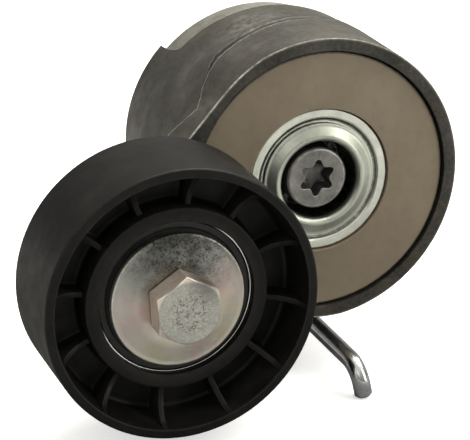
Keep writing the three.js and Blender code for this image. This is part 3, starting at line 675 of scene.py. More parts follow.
class WasherNodes(FinishNodes):
    """Zinc plate, pink and yellow film, painted reflections dark above and bright below, and a dull, speckled
    place at the top.
    """

    TARNISH = (-0.0440, -0.0745, 0.0030)
    TARNISH_RADIUS = 0.0190
    TARNISH_COLOUR = (0.050, 0.052, 0.048)
    SPECKLE_COLOUR = (0.010, 0.010, 0.009)
    DUST_COLOUR = (0.16, 0.15, 0.13)
    # Painted reflections: bright over the lower half of the washer and dark over its upper half.
    PAINTED_LOWER_REFLECTION = (0.72, 0.71, 0.65)
    PAINTED_UPPER_REFLECTION = (0.20, 0.195, 0.18)
    PINK_COLOUR = (0.60, 0.43, 0.41)
    YELLOW_COLOUR = (0.66, 0.61, 0.43)
    FILM_RADIUS = 0.0090
    MIDDLE = -0.0141
    PINK = ((-0.0345, -0.0745, -0.0120), (-0.0560, -0.0745, -0.0165), (-0.0400, -0.0745, -0.0250))
    YELLOW = ((-0.0500, -0.0745, -0.0255), (-0.0350, -0.0745, -0.0200))

    def film(self, shade: Socket) -> Socket:
        """Washes pink and yellow over the plate, in soft spots broken by noise."""
        broken = self.level(self.noise(2.4, 4.0, 0.65), 0.34, 0.60, 0.10, 1.0)
        for spots, tint in ((self.PINK, self.PINK_COLOUR), (self.YELLOW, self.YELLOW_COLOUR)):
            for spot in spots:
                reach = self.times(self.blob(spot, self.FILM_RADIUS), broken)
                shade = self.mix(self.times(reach, 0.9), shade, tint)
        return shade

    def upright(self, low: float, high: float, reach: float) -> Socket:
        """A value that goes from low, a reach below the middle, to high, a reach above it."""
        split = self.tree.nodes.new("ShaderNodeSeparateXYZ")
        self.tree.links.new(self.place, split.inputs[0])
        return self.level(split.outputs["Z"], self.MIDDLE - reach, self.MIDDLE + reach, low, high)

    def colour(self) -> Socket:
        """The common colours with a painted bright reflection below, then tint, a painted dark reflection
        above, the dull place and its speckles.
        """
        # Painted bright reflection over the lower half.
        shade = self.mix(self.upright(0.95, -0.45, 0.012), super().colour(), self.PAINTED_LOWER_REFLECTION)
        dust = self.level(self.noise(0.4, 4.0, 0.8), 0.58, 0.68, 0.0, 0.45)
        shade = self.mix(dust, shade, self.DUST_COLOUR)
        # Painted dark reflection over the upper half, laid over the tint.
        shade = self.mix(self.upright(0.0, 0.55, 0.014), self.film(shade), self.PAINTED_UPPER_REFLECTION)
        dull = self.level(self.blob(self.TARNISH, self.TARNISH_RADIUS), 0.0, 0.75)
        uneven = self.level(self.noise(4.5, 3.0, 0.6), 0.34, 0.58, 0.35, 1.0)
        shade = self.mix(self.times(self.times(dull, uneven), 0.9), shade, self.TARNISH_COLOUR)
        speckle = self.level(self.noise(0.6, 5.0, 0.8), 0.50, 0.58)
        return self.mix(self.times(speckle, self.times(dull, 0.8)), shade, self.SPECKLE_COLOUR)


class HexNodes(WasherNodes):
    """The same plate on a hexagon head, whose face is rough and marked in the middle."""

    FACE = (-0.0457, -0.0826, -0.0141)
    FACE_RADIUS = 0.0054
    # Painted dark reflection over the head's upper right side and chamfer.
    UPPER_RIGHT_DARK_REFLECTION = (-0.0403, -0.0800, -0.0066)
    UPPER_RIGHT_DARK_REFLECTION_RADIUS = 0.0074
    FACE_COLOUR = (0.315, 0.325, 0.300)
    GRAIN_COLOUR = (0.60, 0.61, 0.58)
    # Colour of the painted dark reflection.
    DARKER_PATCH_COLOUR = (0.04, 0.038, 0.033)
    MARK_COLOUR = (0.060, 0.055, 0.045)

    def face(self) -> Socket:
        """1 on the head's face and 0 on its sides."""
        split = self.tree.nodes.new("ShaderNodeSeparateXYZ")
        self.tree.links.new(self.place, split.inputs[0])
        return self.level(split.outputs["Y"], -0.0823, -0.0825)

    def marks(self) -> Socket:
        """Short worm-like marks over the middle of the face."""
        bent = self.noise(1.5, 2.0, 0.5)
        line = self.level(self.math("ABSOLUTE", self.math("SUBTRACT", bent, 0.5), 0.0), 0.055, 0.02)
        broken = self.level(self.noise(1.1, 3.0, 0.7), 0.47, 0.53)
        middle = self.level(self.blob(self.FACE, self.FACE_RADIUS), 0.02, 0.35)
        return self.times(middle, self.times(line, broken))

    def colour(self) -> Socket:
        """Pinkish plate on the sides, duller and greyer on the face, a painted dark reflection at the upper
        right, and dark in the marks.
        """
        shade = FinishNodes.colour(self)
        shade = self.mix(self.times(self.face(), 0.85), shade, self.FACE_COLOUR)
        grain = self.level(self.noise(0.45, 4.0, 0.75), 0.45, 0.62, 0.0, 0.6)
        shade = self.mix(self.times(grain, self.face()), shade, self.GRAIN_COLOUR)
        # Painted dark reflection at the head's upper right.
        darker_patch = self.times(self.blob(self.UPPER_RIGHT_DARK_REFLECTION, self.UPPER_RIGHT_DARK_REFLECTION_RADIUS), 0.9)
        shade = self.mix(darker_patch, shade, self.DARKER_PATCH_COLOUR)
        return self.mix(self.times(self.marks(), 0.5), shade, self.MARK_COLOUR)

    def roughness(self) -> Socket:
        """Rougher on the face than on the sides."""
        return self.math("ADD", super().roughness(), self.times(self.face(), 0.08))

    def relief(self) -> Socket:
        """Plate grain, with the marks raised on it."""
        return self.math("ADD", super().relief(), self.times(self.marks(), 4.0))


PATTERN_NODES: dict[Pattern, type[FinishNodes]] = {
    Pattern.PLAIN: FinishNodes,
    Pattern.CASTING: CastingNodes,
    Pattern.WASHER: WasherNodes,
    Pattern.HEXAGON: HexNodes,
}

ARM_CAST = Finish(
    "arm_casting_blasted", "cast_aluminium",
    (0.088, 0.084, 0.074), (0.050, 0.047, 0.041), (0.165, 0.158, 0.140),
    0.75, 0.50, 0.10, Grain.CAST, 0.05, 14.0, (0.70, 0.68, 0.62), 0.9, 0.85,
    pattern=Pattern.CASTING,
)
BASE_CAST = Finish(
    "base_casting_blasted", "cast_aluminium",
    (0.27, 0.265, 0.235), (0.17, 0.165, 0.145), (0.38, 0.37, 0.33),
    0.75, 0.50, 0.10, Grain.CAST, 0.05, 12.0, (0.72, 0.71, 0.68), 0.6, 0.5,
    pattern=Pattern.CASTING,
)
BRIGHT_ZINC = Finish(
    "bright_zinc_plate", "zinc_steel",
    (0.59, 0.61, 0.545), (0.47, 0.49, 0.43), (0.72, 0.74, 0.67),
    1.0, 0.32, 0.06, Grain.PLATED, 0.012, 9.0, (0.85, 0.85, 0.82), 0.5, 0.75,
)
WASHER_ZINC = Finish(
    "tinted_zinc_plate", "zinc_washer",
    (0.41, 0.42, 0.39), (0.30, 0.31, 0.285), (0.55, 0.555, 0.51),
    0.9, 0.40, 0.09, Grain.PLATED, 0.02, 8.0, (0.95, 0.93, 0.88), 1.0, 0.6,
    pattern=Pattern.WASHER,
)
HEX_ZINC = Finish(
    "hexagon_zinc_plate", "zinc_washer",
    (0.70, 0.59, 0.50), (0.50, 0.42, 0.35), (0.82, 0.72, 0.62),
    0.7, 0.46, 0.07, Grain.PLATED, 0.05, 6.0, (0.95, 0.90, 0.82), 1.0, 0.6,
    pattern=Pattern.HEXAGON,
)
ROLLED_ZINC = Finish(
    "rolled_zinc_plate", "zinc_steel",
    (0.47, 0.49, 0.43), (0.38, 0.40, 0.35), (0.58, 0.60, 0.53),
    1.0, 0.42, 0.05, Grain.PLATED, 0.008, 9.0, (0.85, 0.85, 0.82), 0.3, 1.0,
)
DARK_BOLT = Finish(
    "phosphated_bolt", "dark_bolt",
    (0.205, 0.20, 0.19), (0.11, 0.107, 0.10), (0.34, 0.335, 0.32),
    0.9, 0.46, 0.07, Grain.CAST, 0.02, 5.0, (0.60, 0.59, 0.56), 0.7, 0.6,
)
PIN_ZINC = Finish(
    "pin_zinc_plate", "pin_steel",
    (0.62, 0.64, 0.66), (0.42, 0.43, 0.45), (0.80, 0.81, 0.83),
    1.0, 0.20, 0.06, Grain.PLATED, 0.010, 6.0, (0.9, 0.9, 0.9), 0.6, 0.4,
)
SPRING_STEEL = Finish(
    "oiled_spring_steel", "spring_steel",
    (0.060, 0.060, 0.065), (0.03, 0.03, 0.03), (0.12, 0.12, 0.12),
    0.9, 0.36, 0.08, Grain.PLATED, 0.01, 7.0, (0.4, 0.4, 0.4), 0.4, 0.3,
)
BEARING_STEEL = Finish(
    "ground_bearing_steel", "bearing_steel",
    (0.70, 0.71, 0.72), (0.58, 0.59, 0.60), (0.80, 0.81, 0.82),
    1.0, 0.16, 0.05, Grain.GROUND, 0.004, 6.0, (0.9, 0.9, 0.9), 0.4, 0.3,
)
BLACK_NYLON = Finish(
    "black_glass_nylon", "black_plastic",
    (0.0040, 0.0039, 0.0036), (0.0024, 0.0024, 0.0021), (0.0110, 0.0106, 0.0096),
    0.0, 0.47, 0.08, Grain.MOULDED, 0.02, 16.0, (0.036, 0.034, 0.030), 0.35, 0.4, 0.17,
)
FRICTION_BEIGE = Finish(
    "beige_friction_compound", "beige_plastic",
    (0.196, 0.157, 0.107), (0.156, 0.124, 0.084), (0.236, 0.192, 0.136),
    0.0, 0.62, 0.08, Grain.PRESSED, 0.02, 22.0, (0.34, 0.29, 0.21), 0.4, 0.7,
)
NATURAL_NYLON = Finish(
    "natural_nylon", "pale_plastic",
    (0.55, 0.49, 0.36), (0.44, 0.38, 0.27), (0.64, 0.58, 0.45),
    0.0, 0.5, 0.06, Grain.MOULDED, 0.01, 10.0, (0.7, 0.65, 0.52), 0.3, 0.3,
)
SEAL_RUBBER = Finish(
    "nitrile_rubber", "seal_rubber",
    (0.012, 0.012, 0.012), (0.007, 0.007, 0.007), (0.024, 0.023, 0.022),
    0.0, 0.55, 0.08, Grain.MOULDED, 0.015, 6.0, (0.05, 0.05, 0.05), 0.4, 0.4,
)


# --------------------------------------------------------------------- pieces


class Body(enum.Enum):
    """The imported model's moving bodies."""

    BASE = "base"
    ARM = "arm"
    PULLEY = "pulley"
    BALLS = "ball_set"
    PIN = "locking_pin"


def grid_quads(rows: int, columns: int, loop: bool) -> FloatArray:
    """Faces of a grid that closes on itself round its columns, and over its rows if it loops.

    Args:
        rows: Number of rows.
        columns: Number of columns.
        loop: True if the last row joins the first.

    Returns:
        (faces, 4) vertex numbers.
    """
    index = np.arange(rows * columns).reshape(rows, columns)
    if loop:
        index = np.vstack([index, index[:1]])
    index = np.hstack([index, index[:, :1]])
    quads = np.stack([index[:-1, :-1], index[:-1, 1:], index[1:, 1:], index[1:, :-1]], axis=-1)
    return quads.reshape(-1, 4)


def build_piece(
    name: str, patches: Sequence[Patch], finish: Finish, body: Body | None, node: str,
) -> bpy.types.Object:
    """Joins patches into one mesh, shades it, dresses it and puts it on its body.

    Args:
        name: Name of the new piece.
        patches: Its closed surfaces.
        finish: Its material.
        body: The body that it rides on, or None to leave it on no body.
        node: The CAD node that it stands for.

    Returns:
        The new object.
    """
    vertices: list[FloatArray] = []
    faces: list[FloatArray] = []
    edges: list[FloatArray] = []
    offset = 0
    for patch in patches:
        vertices.append(patch.points.reshape(-1, 3))
        faces.append(grid_quads(*patch.points.shape[:2], patch.loop) + offset)
        edges.append(patch.edge.reshape(-1))
        offset += len(vertices[-1])
    mesh = bpy.data.meshes.new(name)
    mesh.from_pydata(np.concatenate(vertices), [], np.concatenate(faces).tolist())
    edge = mesh.attributes.new("edge", "FLOAT", "POINT")
    edge.data.foreach_set("value", np.concatenate(edges).astype(np.float32))
    work = bmesh.new()
    work.from_mesh(mesh)
    bmesh.ops.remove_doubles(work, verts=work.verts, dist=2e-6)
    bmesh.ops.dissolve_degenerate(work, edges=work.edges, dist=1e-7)
    bmesh.ops.recalc_face_normals(work, faces=work.faces)
    work.to_mesh(mesh)
    work.free()
    mesh.polygons.foreach_set("use_smooth", np.ones(len(mesh.polygons), bool))
    mesh.set_sharp_from_angle(angle=SMOOTH_BELOW)
    mesh.materials.append(finish.material())
    made = bpy.data.objects.new(name, mesh)
    bpy.context.scene.collection.objects.link(made)
    if body is not None:
        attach(made, body.value)
    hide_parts(node)
    log.info("%s: %d vertices", name, len(mesh.vertices))
    return made


def dress_node(node: str, finish: Finish) -> None:
    """Gives a carried-over CAD node a finish in place of its own."""
    kept = next(o for o in bpy.data.objects if o.get("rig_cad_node") == node)
    kept.data.materials.clear()
    kept.data.materials.append(finish.material())
    log.info("%s: dressed", node)


@dataclass
class Layout:
    """Places shared by the sub-assemblies, in millimetres and degrees."""

    centre_distance: float = 47.8
    arm_angle: float = -162.8
    arm_travel: float = 60.0
    housing_height: float = 46.3
    pulley_plane: float = 65.7
    lock_angle: float = -85.7
    lock_orbit: float = 42.1
    pin_radius: float = 2.2
    ear_half: float = 5.1
    tube_radius: float = 12.3
    spring_radius: float = 24.2
    spring_bottom: float = 9.0
    spring_top: float = 34.5
    spring_start: float = 20.0
    spring_pitch: float = 6.2
    lug_inner: float = 20.2
    lug_span: float = 14.0

    @property
    def wheel_centre(self) -> tuple[float, float]:
        """The pulley's axis."""
        return polar(self.centre_distance, self.arm_angle)

    @property
    def wheel_seat(self) -> Seat:
        """Seat on the pulley's axis."""
        return Seat((*self.wheel_centre, 0.0))

    @property
    def base_ear_angle(self) -> float:
        """Direction of the base's lock ear."""
        return self.lock_angle - self.arm_travel

    @property
    def spring_turns(self) -> float:
        """Number of coils in the torsion spring."""
        return (self.spring_top - self.spring_bottom) / self.spring_pitch

    def ear(self, angle: float, root: float, rear: float, front: float) -> Patch:
        """A round-ended ear with a pin hole on the lock orbit, rooted at a radius from the pivot."""
        angles = around(96)
        half, reach = self.ear_half, self.lock_orbit - root
        inward = convex_radius(angles, rectangle(-reach, half, -half, half), 50.0)
        radius = np.where(np.cos(angles) > 0, half, inward)
        seat = Seat.turned(*polar(self.lock_orbit, angle), angle)
        bore = self.pin_radius + RUN_GAP
        outline = corners((bore, rear, 0.3), (radius, rear, 0.6), (radius, front, 0.6), (bore, front, 0.3))
        return revolve(outline, angles, seat)


@dataclass
class BaseAssembly:
    """The fixed base: housing, peg, tube, bolt, dish, friction disc, spring and rings."""

    layout: Layout
    base_radius: float = 32.9
    wall: float = 3.0
    skirt_height: float = 12.5
    floor_height: float = 6.0
    hub_radius: float = 17.5
    hub_height: float = 8.2
    land_radius: float = 16.5
    ring_radius: float = 28.0
    recess_depth: float = 2.2
    rib_half: float = 1.2
    stop_side: float = 8.4
    ear_front: float = 9.3
    disc_bore: float = 12.6
    disc_radius: float = 32.0
    disc_thickness: float = 4.5
    dish_radius: float = 17.7
    dish_thickness: float = 1.3
    dish_face: float = 45.56
    dish_inner_face: float = 44.66
    lip_bore: float = 9.9
    lip_radius: float = 14.1
    lip_height: float = 1.8
    lip_round: float = 1.1
    bolt_head_radius: float = 7.7
    bolt_head_face: float = 44.6
    bolt_seat: float = 34.8
    bolt_reach: float = 22.0
    socket_depth: float = 4.5
    socket_turn: float = 25.0
    retainer_radius: float = 7.2
    peg_radius: float = 2.5
    peg_orbit: float = 24.0
    wire_radius: float = 2.4

    def build(self) -> None:
        """Makes every piece of the base."""
        self.housing()
        self.peg()
        self.tube()
        self.bolt()
        self.dish()
        self.disc()
        self.spring()
        self.rings()

    def peg_seat(self) -> Seat:
        """Seat on the dowel's axis."""
        return Seat((*polar(self.peg_orbit, 90), 0.0))

    def housing(self) -> None:
        """The cast base: floor, skirt, hub, rear ribs, peg boss, lock ear, stop tab and spring lug."""
        layout, land, ring, depth = self.layout, self.land_radius, self.ring_radius, self.recess_depth
        bore, inner, outer = layout.tube_radius + RUN_GAP, self.base_radius - self.wall, self.base_radius
        hub, floor, skirt = self.hub_radius, self.floor_height, self.skirt_height
        shell = corners(
            (bore, 0, 0.4), (land, 0, 0.5), (land + 0.4, depth, 0.6), (ring - 0.4, depth, 0.6),
            (ring, 0, 0.5), (outer, 0, 0.8), (outer, skirt, 0.6), (inner, skirt, 0.4),
            (inner, floor, 1.5), (hub, floor, 1.2), (hub, self.hub_height, 0.4),
            (bore, self.hub_height, 0.4),
        )
        patches = [revolve(shell, 180)]
        rib = rectangle(land - 0.5, ring + 0.4, -self.rib_half, self.rib_half)
        for turn in range(30, 390, 60):
            patches.append(block(rib, 0.02, depth + 0.5, Seat.turned(0, 0, turn), 0.4))
        hole, boss, top = self.peg_radius + 0.3, self.peg_radius + 2.6, floor - 0.5
        peg_boss = corners((hole, 0.01, 0.3), (boss, 0.01, 0.6), (boss, top, 0.6), (hole, top, 0.2))
        patches.append(revolve(peg_boss, 48, self.peg_seat()))
        orbit, side, front = layout.lock_orbit, self.stop_side, self.ear_front
        patches.append(layout.ear(layout.base_ear_angle, 31.0, 2.0, front))
        seat = Seat.turned(0, 0, layout.base_ear_angle)
        patches.append(block(rectangle(31, orbit, -side, 0), 2.01, front - 0.01, seat, 0.6))
        patches.append(block(rectangle(36.5, orbit, -side, 3 - side), front - 1.3, front + 6.5, seat, 0.6))
        lug_start = layout.spring_start - 1 - layout.lug_span
        lug = sector(layout.lug_inner, inner + 0.5, lug_start, layout.lug_span)
        patches.append(block(lug, floor - 1, floor + 5))
        build_piece("base_body", patches, BASE_CAST, Body.BASE, "base_housing")

    def peg(self) -> None:
        """The dowel that stands out of the mounting face."""
        tip, radius = 5.0, self.peg_radius
        outline = corners(
            (0, -tip), (radius - 0.6, -tip, 0.2), (radius, 0.6 - tip, 0.2),
            (radius, tip - 0.6, 0.2), (0, tip - 0.6),
        )
        patch = revolve(outline, 48, self.peg_seat(), loop=False)
        build_piece("peg_dowel", [patch], BRIGHT_ZINC, Body.BASE, "locating_peg")

    def tube(self) -> None:
        """The pivot tube, whose front end is rolled outwards: a round crest, a slope and a flat edge."""
        rear, outer = self.dish_inner_face + 0.3, self.layout.tube_radius
        bore, lip = self.lip_bore, self.lip_radius
        crest, middle = rear + self.lip_height, bore + self.lip_round
        turn = np.linspace(0.33 * np.pi, np.pi, 18)
        out = middle + self.lip_round * np.cos(turn)
        up = crest - self.lip_round + self.lip_round * np.sin(turn)
        well, collar = self.bolt_seat - 0.3, 5.0
        # Painted shade: a tone of -1 blackens the joint of lip and dish and the well round the bolt head.
        outline = corners(
            (7.5, 0, 0.3), (outer, 0, 0.4), (outer, rear), (lip, rear, 0.15, -1.0),
            (lip, rear + 0.5, 0.2, 0.0),
            (lip - 0.7, rear + 0.55, 0.6, 0.0), *zip(out, up), (bore, crest - 1.7, 0.0, 0.0),
            (bore, crest - 2.3, 0.0, -1.0), (bore, well, 0.2, -1.0), (5.6, well, 0.2, -1.0),
            (5.6, collar, 0.2), (7.5, collar, 0.2),
        )
        patch = revolve(outline, 160, steps=3)
        build_piece("tube_rolled", [patch], ROLLED_ZINC, Body.BASE, "pivot_tube")

    def bolt(self) -> None:
        """The mounting bolt: round head with a six-lobed socket, and a threaded shank."""
        angles = around(180)
        lobe_turn = angles - math.radians(self.socket_turn)
        lobes = 3.72 + 0.72 * np.cos(6 * lobe_turn) + 0.06 * np.cos(12 * lobe_turn)
        face, floor, tip = self.bolt_head_face, self.bolt_head_face - self.socket_depth, -self.bolt_reach
        head, seat = self.bolt_head_radius, self.bolt_seat
        thread = thread_corners(tip + 1.2, -1.0, angles)
        outline = [
            *corners((0, tip), (3.8, tip, 0.2)), *thread,
            *corners(
                (THREAD_RADIUS, seat, 0.1), (head, seat, 0.3), (head, face - 0.5, 0.25),
                (head - 0.5, face, 0.25),
                # Painted shade down the walls and floor of the socket.
                (lobes + 0.22, face, 0.08), (lobes, face - 0.3, 0.1, -0.7),
                (lobes * 0.97, floor, 0.4, -0.9),
                (0, floor - 0.5),
            ),
        ]
        patch = revolve(outline, angles, loop=False, steps=3)
        build_piece("bolt_round_head", [patch], DARK_BOLT, Body.BASE, "mounting_bolt")

    def dish(self) -> None:
        """The pressed dish: a flat flange, a step and a lower face under the rolled lip."""
        face, inner, outer, bore = self.dish_face, self.dish_inner_face, self.dish_radius, self.disc_bore
        inner_rear, rear = inner - self.dish_thickness, face - self.dish_thickness
        outline = corners(
            (bore, inner_rear, 0.2), (15.4, inner_rear, 0.4), (16.1, rear, 0.4), (outer, rear, 0.2),
            (outer, face, 0.35), (15.6, face, 0.45), (15.0, inner, 0.4), (bore, inner, 0.2),
        )
        build_piece("dish_pressed", [revolve(outline, 180)], BRIGHT_ZINC, Body.BASE, "retaining_dish")

    def disc(self) -> None:
        """The friction disc, with a shallow seat for the dish."""
        front, radius, bore = self.layout.housing_height, self.disc_radius, self.disc_bore
        rear, seat_radius = front - self.disc_thickness, self.dish_radius + 0.25
        seat, well = self.dish_face - 1.6, self.dish_inner_face - 1.6
        # Painted shade: the outer front edge is black, a dark line in the gap round it.
        outline = corners(
            (bore, rear, 0.2), (radius, rear, 0.2), (radius, front, 0.35, -1.0),
            (radius - 0.6, front, 0.0, 0.0),
            (seat_radius, front, 0.2), (seat_radius, seat, 0.2), (16.4, seat, 0.2), (15.7, well, 0.2),
            (bore, well, 0.2),
        )
        build_piece("disc_friction", [revolve(outline, 200)], FRICTION_BEIGE, Body.BASE, "friction_disc")

    def spring(self) -> None:
        """The torsion spring: a round wire along z = pitch * turns, at a steady radius.

        It rides on no body: its place is baked into its mesh.
        """
        layout = self.layout
        share = np.linspace(0, 1, 240)
        angle = np.radians(layout.spring_start) + share * layout.spring_turns * 2 * np.pi
        height = layout.spring_bottom + share * (layout.spring_top - layout.spring_bottom)
        x, y = layout.spring_radius * np.cos(angle), layout.spring_radius * np.sin(angle)
        path = np.stack([x, y, height], -1)
        path = np.concatenate([path[:1], path[:1], path, path[-1:], path[-1:]])
        radial = np.concatenate([path[:, :2], np.zeros((len(path), 1))], axis=1)
        radius = np.full(len(path), self.wire_radius)
        radius[[0, -1]] = 0.0
        radius[[1, -2]] = self.wire_radius - 0.3
        wire = tube(path, radius, radial, 20)
        spring = build_piece("spring_wire", [wire], SPRING_STEEL, None, "torsion_spring")
        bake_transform(spring)

    def rings(self) -> None:
        """The bolt's collar, the thrust washer and the labyrinth ring."""
        collar = band(BOLT_CLEARANCE, self.retainer_radius, 1.3, 4.7, 0.3)
        build_piece("collar_bolt", [revolve(collar, 48)], NATURAL_NYLON, Body.BASE, "bolt_retainer")
        washer = band(self.disc_bore, self.hub_radius, 8.5, 9.7, 0.15)
        build_piece("washer_thrust", [revolve(washer, 96)], NATURAL_NYLON, Body.BASE, "thrust_washer")
        ring = band(30.2, self.base_radius, 12.8, 14.0, 0.3)
        build_piece("ring_labyrinth", [revolve(ring, 144)], BLACK_NYLON, Body.BASE, "labyrinth_ring")


@dataclass
class ArmAssembly:
    """The swinging arm: the casting with its bush and sleeve, and what the pulley bolt clamps."""

    layout: Layout
    rim_radius: float = 35.6
    rim_front: float = 47.3
    cup_rear: float = 10.3
    cup_rear_radius: float = 34.7
    cup_inner: float = 30.2
    web_rear: float = 37.5
    web_front: float = 41.5
    boss_radius: float = 13.0
    lever_rear: float = 38.5
    parting_step: tuple[Point, ...] = (
        (0.0, 0.7), (52.0, 0.7), (62.0, 0.45), (70.0, 0.12), (180.0, 0.12),
    )
    flash_groove: tuple[Point, ...] = (
        (0.0, 0.25), (60.0, 0.25), (67.0, 1.0), (112.0, 1.0), (122.0, 0.3), (180.0, 0.3),
    )
    groove_depth: float = 0.2
    brow_boss: float = 10.4
    brow_inset: float = 0.7
    skirt_start: float = 136.0
    skirt_end: float = 199.1
    skirt_rear: float = 0.5
    parting: tuple[Point, ...] = (
        (0.0, 40.0), (39.2, 40.1), (47.0, 41.6), (51.2, 42.4), (54.2, 40.5), (59.2, 36.7),
        (65.0, 34.0), (71.2, 31.9), (106.2, 28.8), (119.2, 28.3), (131.2, 24.8), (180.0, 24.0),
    )
    gusset: tuple[Point, ...] = ((34.2, 23.7), (36.5, 23.7), (41.9, 29.0), (41.9, 39.2), (34.2, 39.2))
    hub_bore: float = 14.4
    hub_radius: float = 18.0
    cup_mouth: float = 33.2
    neck_radius: float = 12.0
    spigot_radius: float = 8.2
    washer_radius: float = 16.0
    washer_front: float = 75.7
    hex_flats: float = 14.8
    hex_phase: float = 3.4
    hex_rear: float = 76.0
    hex_front: float = 82.6

    def build(self) -> None:
        """Makes every piece that rides on the arm."""
        self.casting()
        self.sleeves()
        self.washer()
        self.hex_bolt()
        self.bearing_parts()

    def columns(self) -> FloatArray:
        """Angles of the casting's columns: even ones, and closer ones where the skirt ends."""
        even = np.arange(0.0, 360.0, 1.0)
        hook = self.skirt_start - 5.0 + 5.0 * np.sin(np.linspace(0, np.pi / 2, 14))
        drop = self.skirt_end + np.linspace(0.0, 0.5, 6)
        return np.radians(np.unique(np.round(np.concatenate([even, hook, drop]), 4)))

    def front_radius(self, away: FloatArray) -> FloatArray:
        """Outside radius of the front edge, drawn in a little where the lever leaves the rim.

        Args:
            away: Angles from the lever's direction, in degrees.

        Returns:
            One radius per angle, the inset fading out between 62 and 82 degrees.
        """
        inset = self.brow_inset * np.clip((82.0 - away) / 20.0, 0.0, 1.0)
        narrow = self.outline_radius(np.radians(away), self.brow_boss)
        return narrow - inset

    def outline_radius(self, away: FloatArray, boss: float) -> FloatArray:
        """Outside radius of cup and lever, by angle away from the lever's direction.

        Two circles and the lines that touch both: the boss circle near the lever, the straight
        line p / cos(lean - angle) beside it, and the cup's own circle beyond.

        Args:
            away: Angles from the lever's direction, 0 to pi.
            boss: Radius of the boss circle.

        Returns:
            One radius per angle.
        """
        distance, cup = self.layout.centre_distance, self.rim_radius
        lean = math.acos((cup - boss) / distance)
        touch = math.atan2(boss * math.sin(lean), distance + boss * math.cos(lean))
        inside = np.maximum(boss**2 - (distance * np.sin(away)) ** 2, 0.0)
        tip = distance * np.cos(away) + np.sqrt(inside)
        straight = cup / np.cos(np.clip(lean - away, 0.0, 1.4))
        return np.where(away < touch, tip, np.where(away < lean, straight, cup))

    def rear_edge(self, degrees: FloatArray) -> FloatArray:
        """Height of the cup's rear edge: down to the skirt, in a quarter ellipse at its start."""
        share = np.clip((degrees - (self.skirt_start - 5.0)) / 5.0, 0.0, 1.0)
        dropped = self.cup_rear - (self.cup_rear - self.skirt_rear) * (1 - np.sqrt(1 - share**2))
        back = np.clip((degrees - self.skirt_end) / 0.5, 0.0, 1.0)
        return dropped + (self.cup_rear - dropped) * back

    def casting(self) -> None:
        """The arm casting: cup, rim, skirt and lever in one surface, then boss, gusset, ear and lug."""
        angles = self.columns()
        degrees = np.degrees(angles)
        away = np.abs((degrees - (360 + self.layout.arm_angle) + 180) % 360 - 180)
        outside = self.outline_radius(np.radians(away), self.boss_radius)
        stand = np.maximum(outside - self.rim_radius, 0.0)
        fillet = 4.5 * (1 - np.exp(-stand / 9.0))
        ragged = np.sin(angles * 97) + 0.7 * np.sin(angles * 61 + 1.3) + 0.5 * np.sin(angles * 173 + 0.4)
        line = np.interp(away, *zip(*self.parting))
        part = line + 0.09 * ragged
        lead = np.clip((away - 60.0) / 8.0, 0.0, 1.0)
        back = part - 1.2 - lead * (1.3 + 0.25 * np.sin(angles * 131) * np.sin(angles * 37))
        under = np.minimum(self.lever_rear, line - 1.7 - 2.1 * lead)
        step = np.interp(away, *zip(*self.parting_step))
        flash = np.interp(away, *zip(*self.flash_groove))
        sink = step + self.groove_depth * flash
        rear = self.rear_edge(degrees)
        brow = self.front_radius(away)
        # Painted highlight along the rim's outer front edge: full within 72 degrees of the lever, half beyond
        # 92.
        painted_rim_highlight = np.interp(away, [72.0, 92.0], [1.0, 0.5])
        wall = self.cup_rear_radius + 0.4
        front, web = self.rim_front, self.web_front
        bore, hub, mouth = self.hub_bore, self.hub_radius, self.cup_mouth
        outline = [
            Corner(bore, 10.0, 0.3), Corner(hub, 10.0, 0.3), Corner(hub, self.web_rear, 1.8),
            Corner(self.cup_inner, self.web_rear, 1.8), Corner(self.cup_inner, 14.3, 0.3),
            Corner(mouth, 14.3, 0.3), Corner(mouth, rear, 0.25), Corner(self.cup_rear_radius, rear, 0.5),
            Corner(self.cup_rear_radius, self.cup_rear + 1.2), Corner(wall, under - 1.6 - fillet, 3.0, 0.0),
            Corner(outside - step - 0.1, under, 0.4, 0.0), Corner(outside - step, back, 0.25, 0.0),
            # Painted shade in the groove behind the parting line, as deep as its flash value.
            Corner(outside - sink, back + 0.4, 0.15, -flash),
            Corner(outside - sink, part - 0.6, 0.15, -flash),
            # Painted highlight line along the parting line's ridge.
            Corner(outside, part, 0.35, 0.95),
            # Painted highlight on the rim's outer front edge, painted shade over its front face, and a black
            # painted line at its inner edge beside the disc.
            Corner(brow, front, 0.45, painted_rim_highlight), Corner(brow - 0.7, front, 0.0, -0.75),
            Corner(32.75, front, 0.0, -0.75), Corner(32.4, front, 0.3, -1.0), Corner(32.4, web, 0.5),
            Corner(bore, web, 0.3),
        ]
        patches = [revolve(outline, angles)]
        arm_seat = Seat((*self.layout.wheel_centre, 0.0))
        neck, spigot = self.neck_radius, self.spigot_radius
        boss = [
            Corner(BOLT_CLEARANCE, 33.5, 0.3), Corner(11, 33.5, 1.2, 0.4), Corner(12.9, 38.6, 1.2, 0.3),
            Corner(12.9, 47.2, 0.8), Corner(neck, 48.6, 0.8), Corner(neck, 58.3, 0.5),
            Corner(spigot, 58.3, 0.3), Corner(spigot, 70.7, 0.3), Corner(BOLT_CLEARANCE, 70.7, 0.3),
        ]
        patches.append(revolve(boss, 96, arm_seat))
        along = (*polar(1.0, self.layout.arm_angle), 0.0)
        gusset_seat = Seat((0.0, 0.0, 0.0), along, (0.0, 0.0, 1.0))
        patches.append(block(self.gusset, -2.5, 2.5, gusset_seat, 0.7))
        patches.append(self.layout.ear(self.layout.lock_angle, 33.8, 11.0, 24.0))
        lug_start = self.spring_lug_start()
        lug = sector(self.layout.lug_inner, 31.0, lug_start, self.layout.lug_span)
        patches.append(block(lug, self.web_rear - 5, self.web_rear + 0.8, Seat(), 0.5))
        build_piece("arm_body", patches, ARM_CAST, Body.ARM, "arm_casting")

    def spring_lug_start(self) -> float:
        """Angle where the lug for the spring's front end begins."""
        return self.layout.spring_start + self.layout.spring_turns * 360 + 1.0

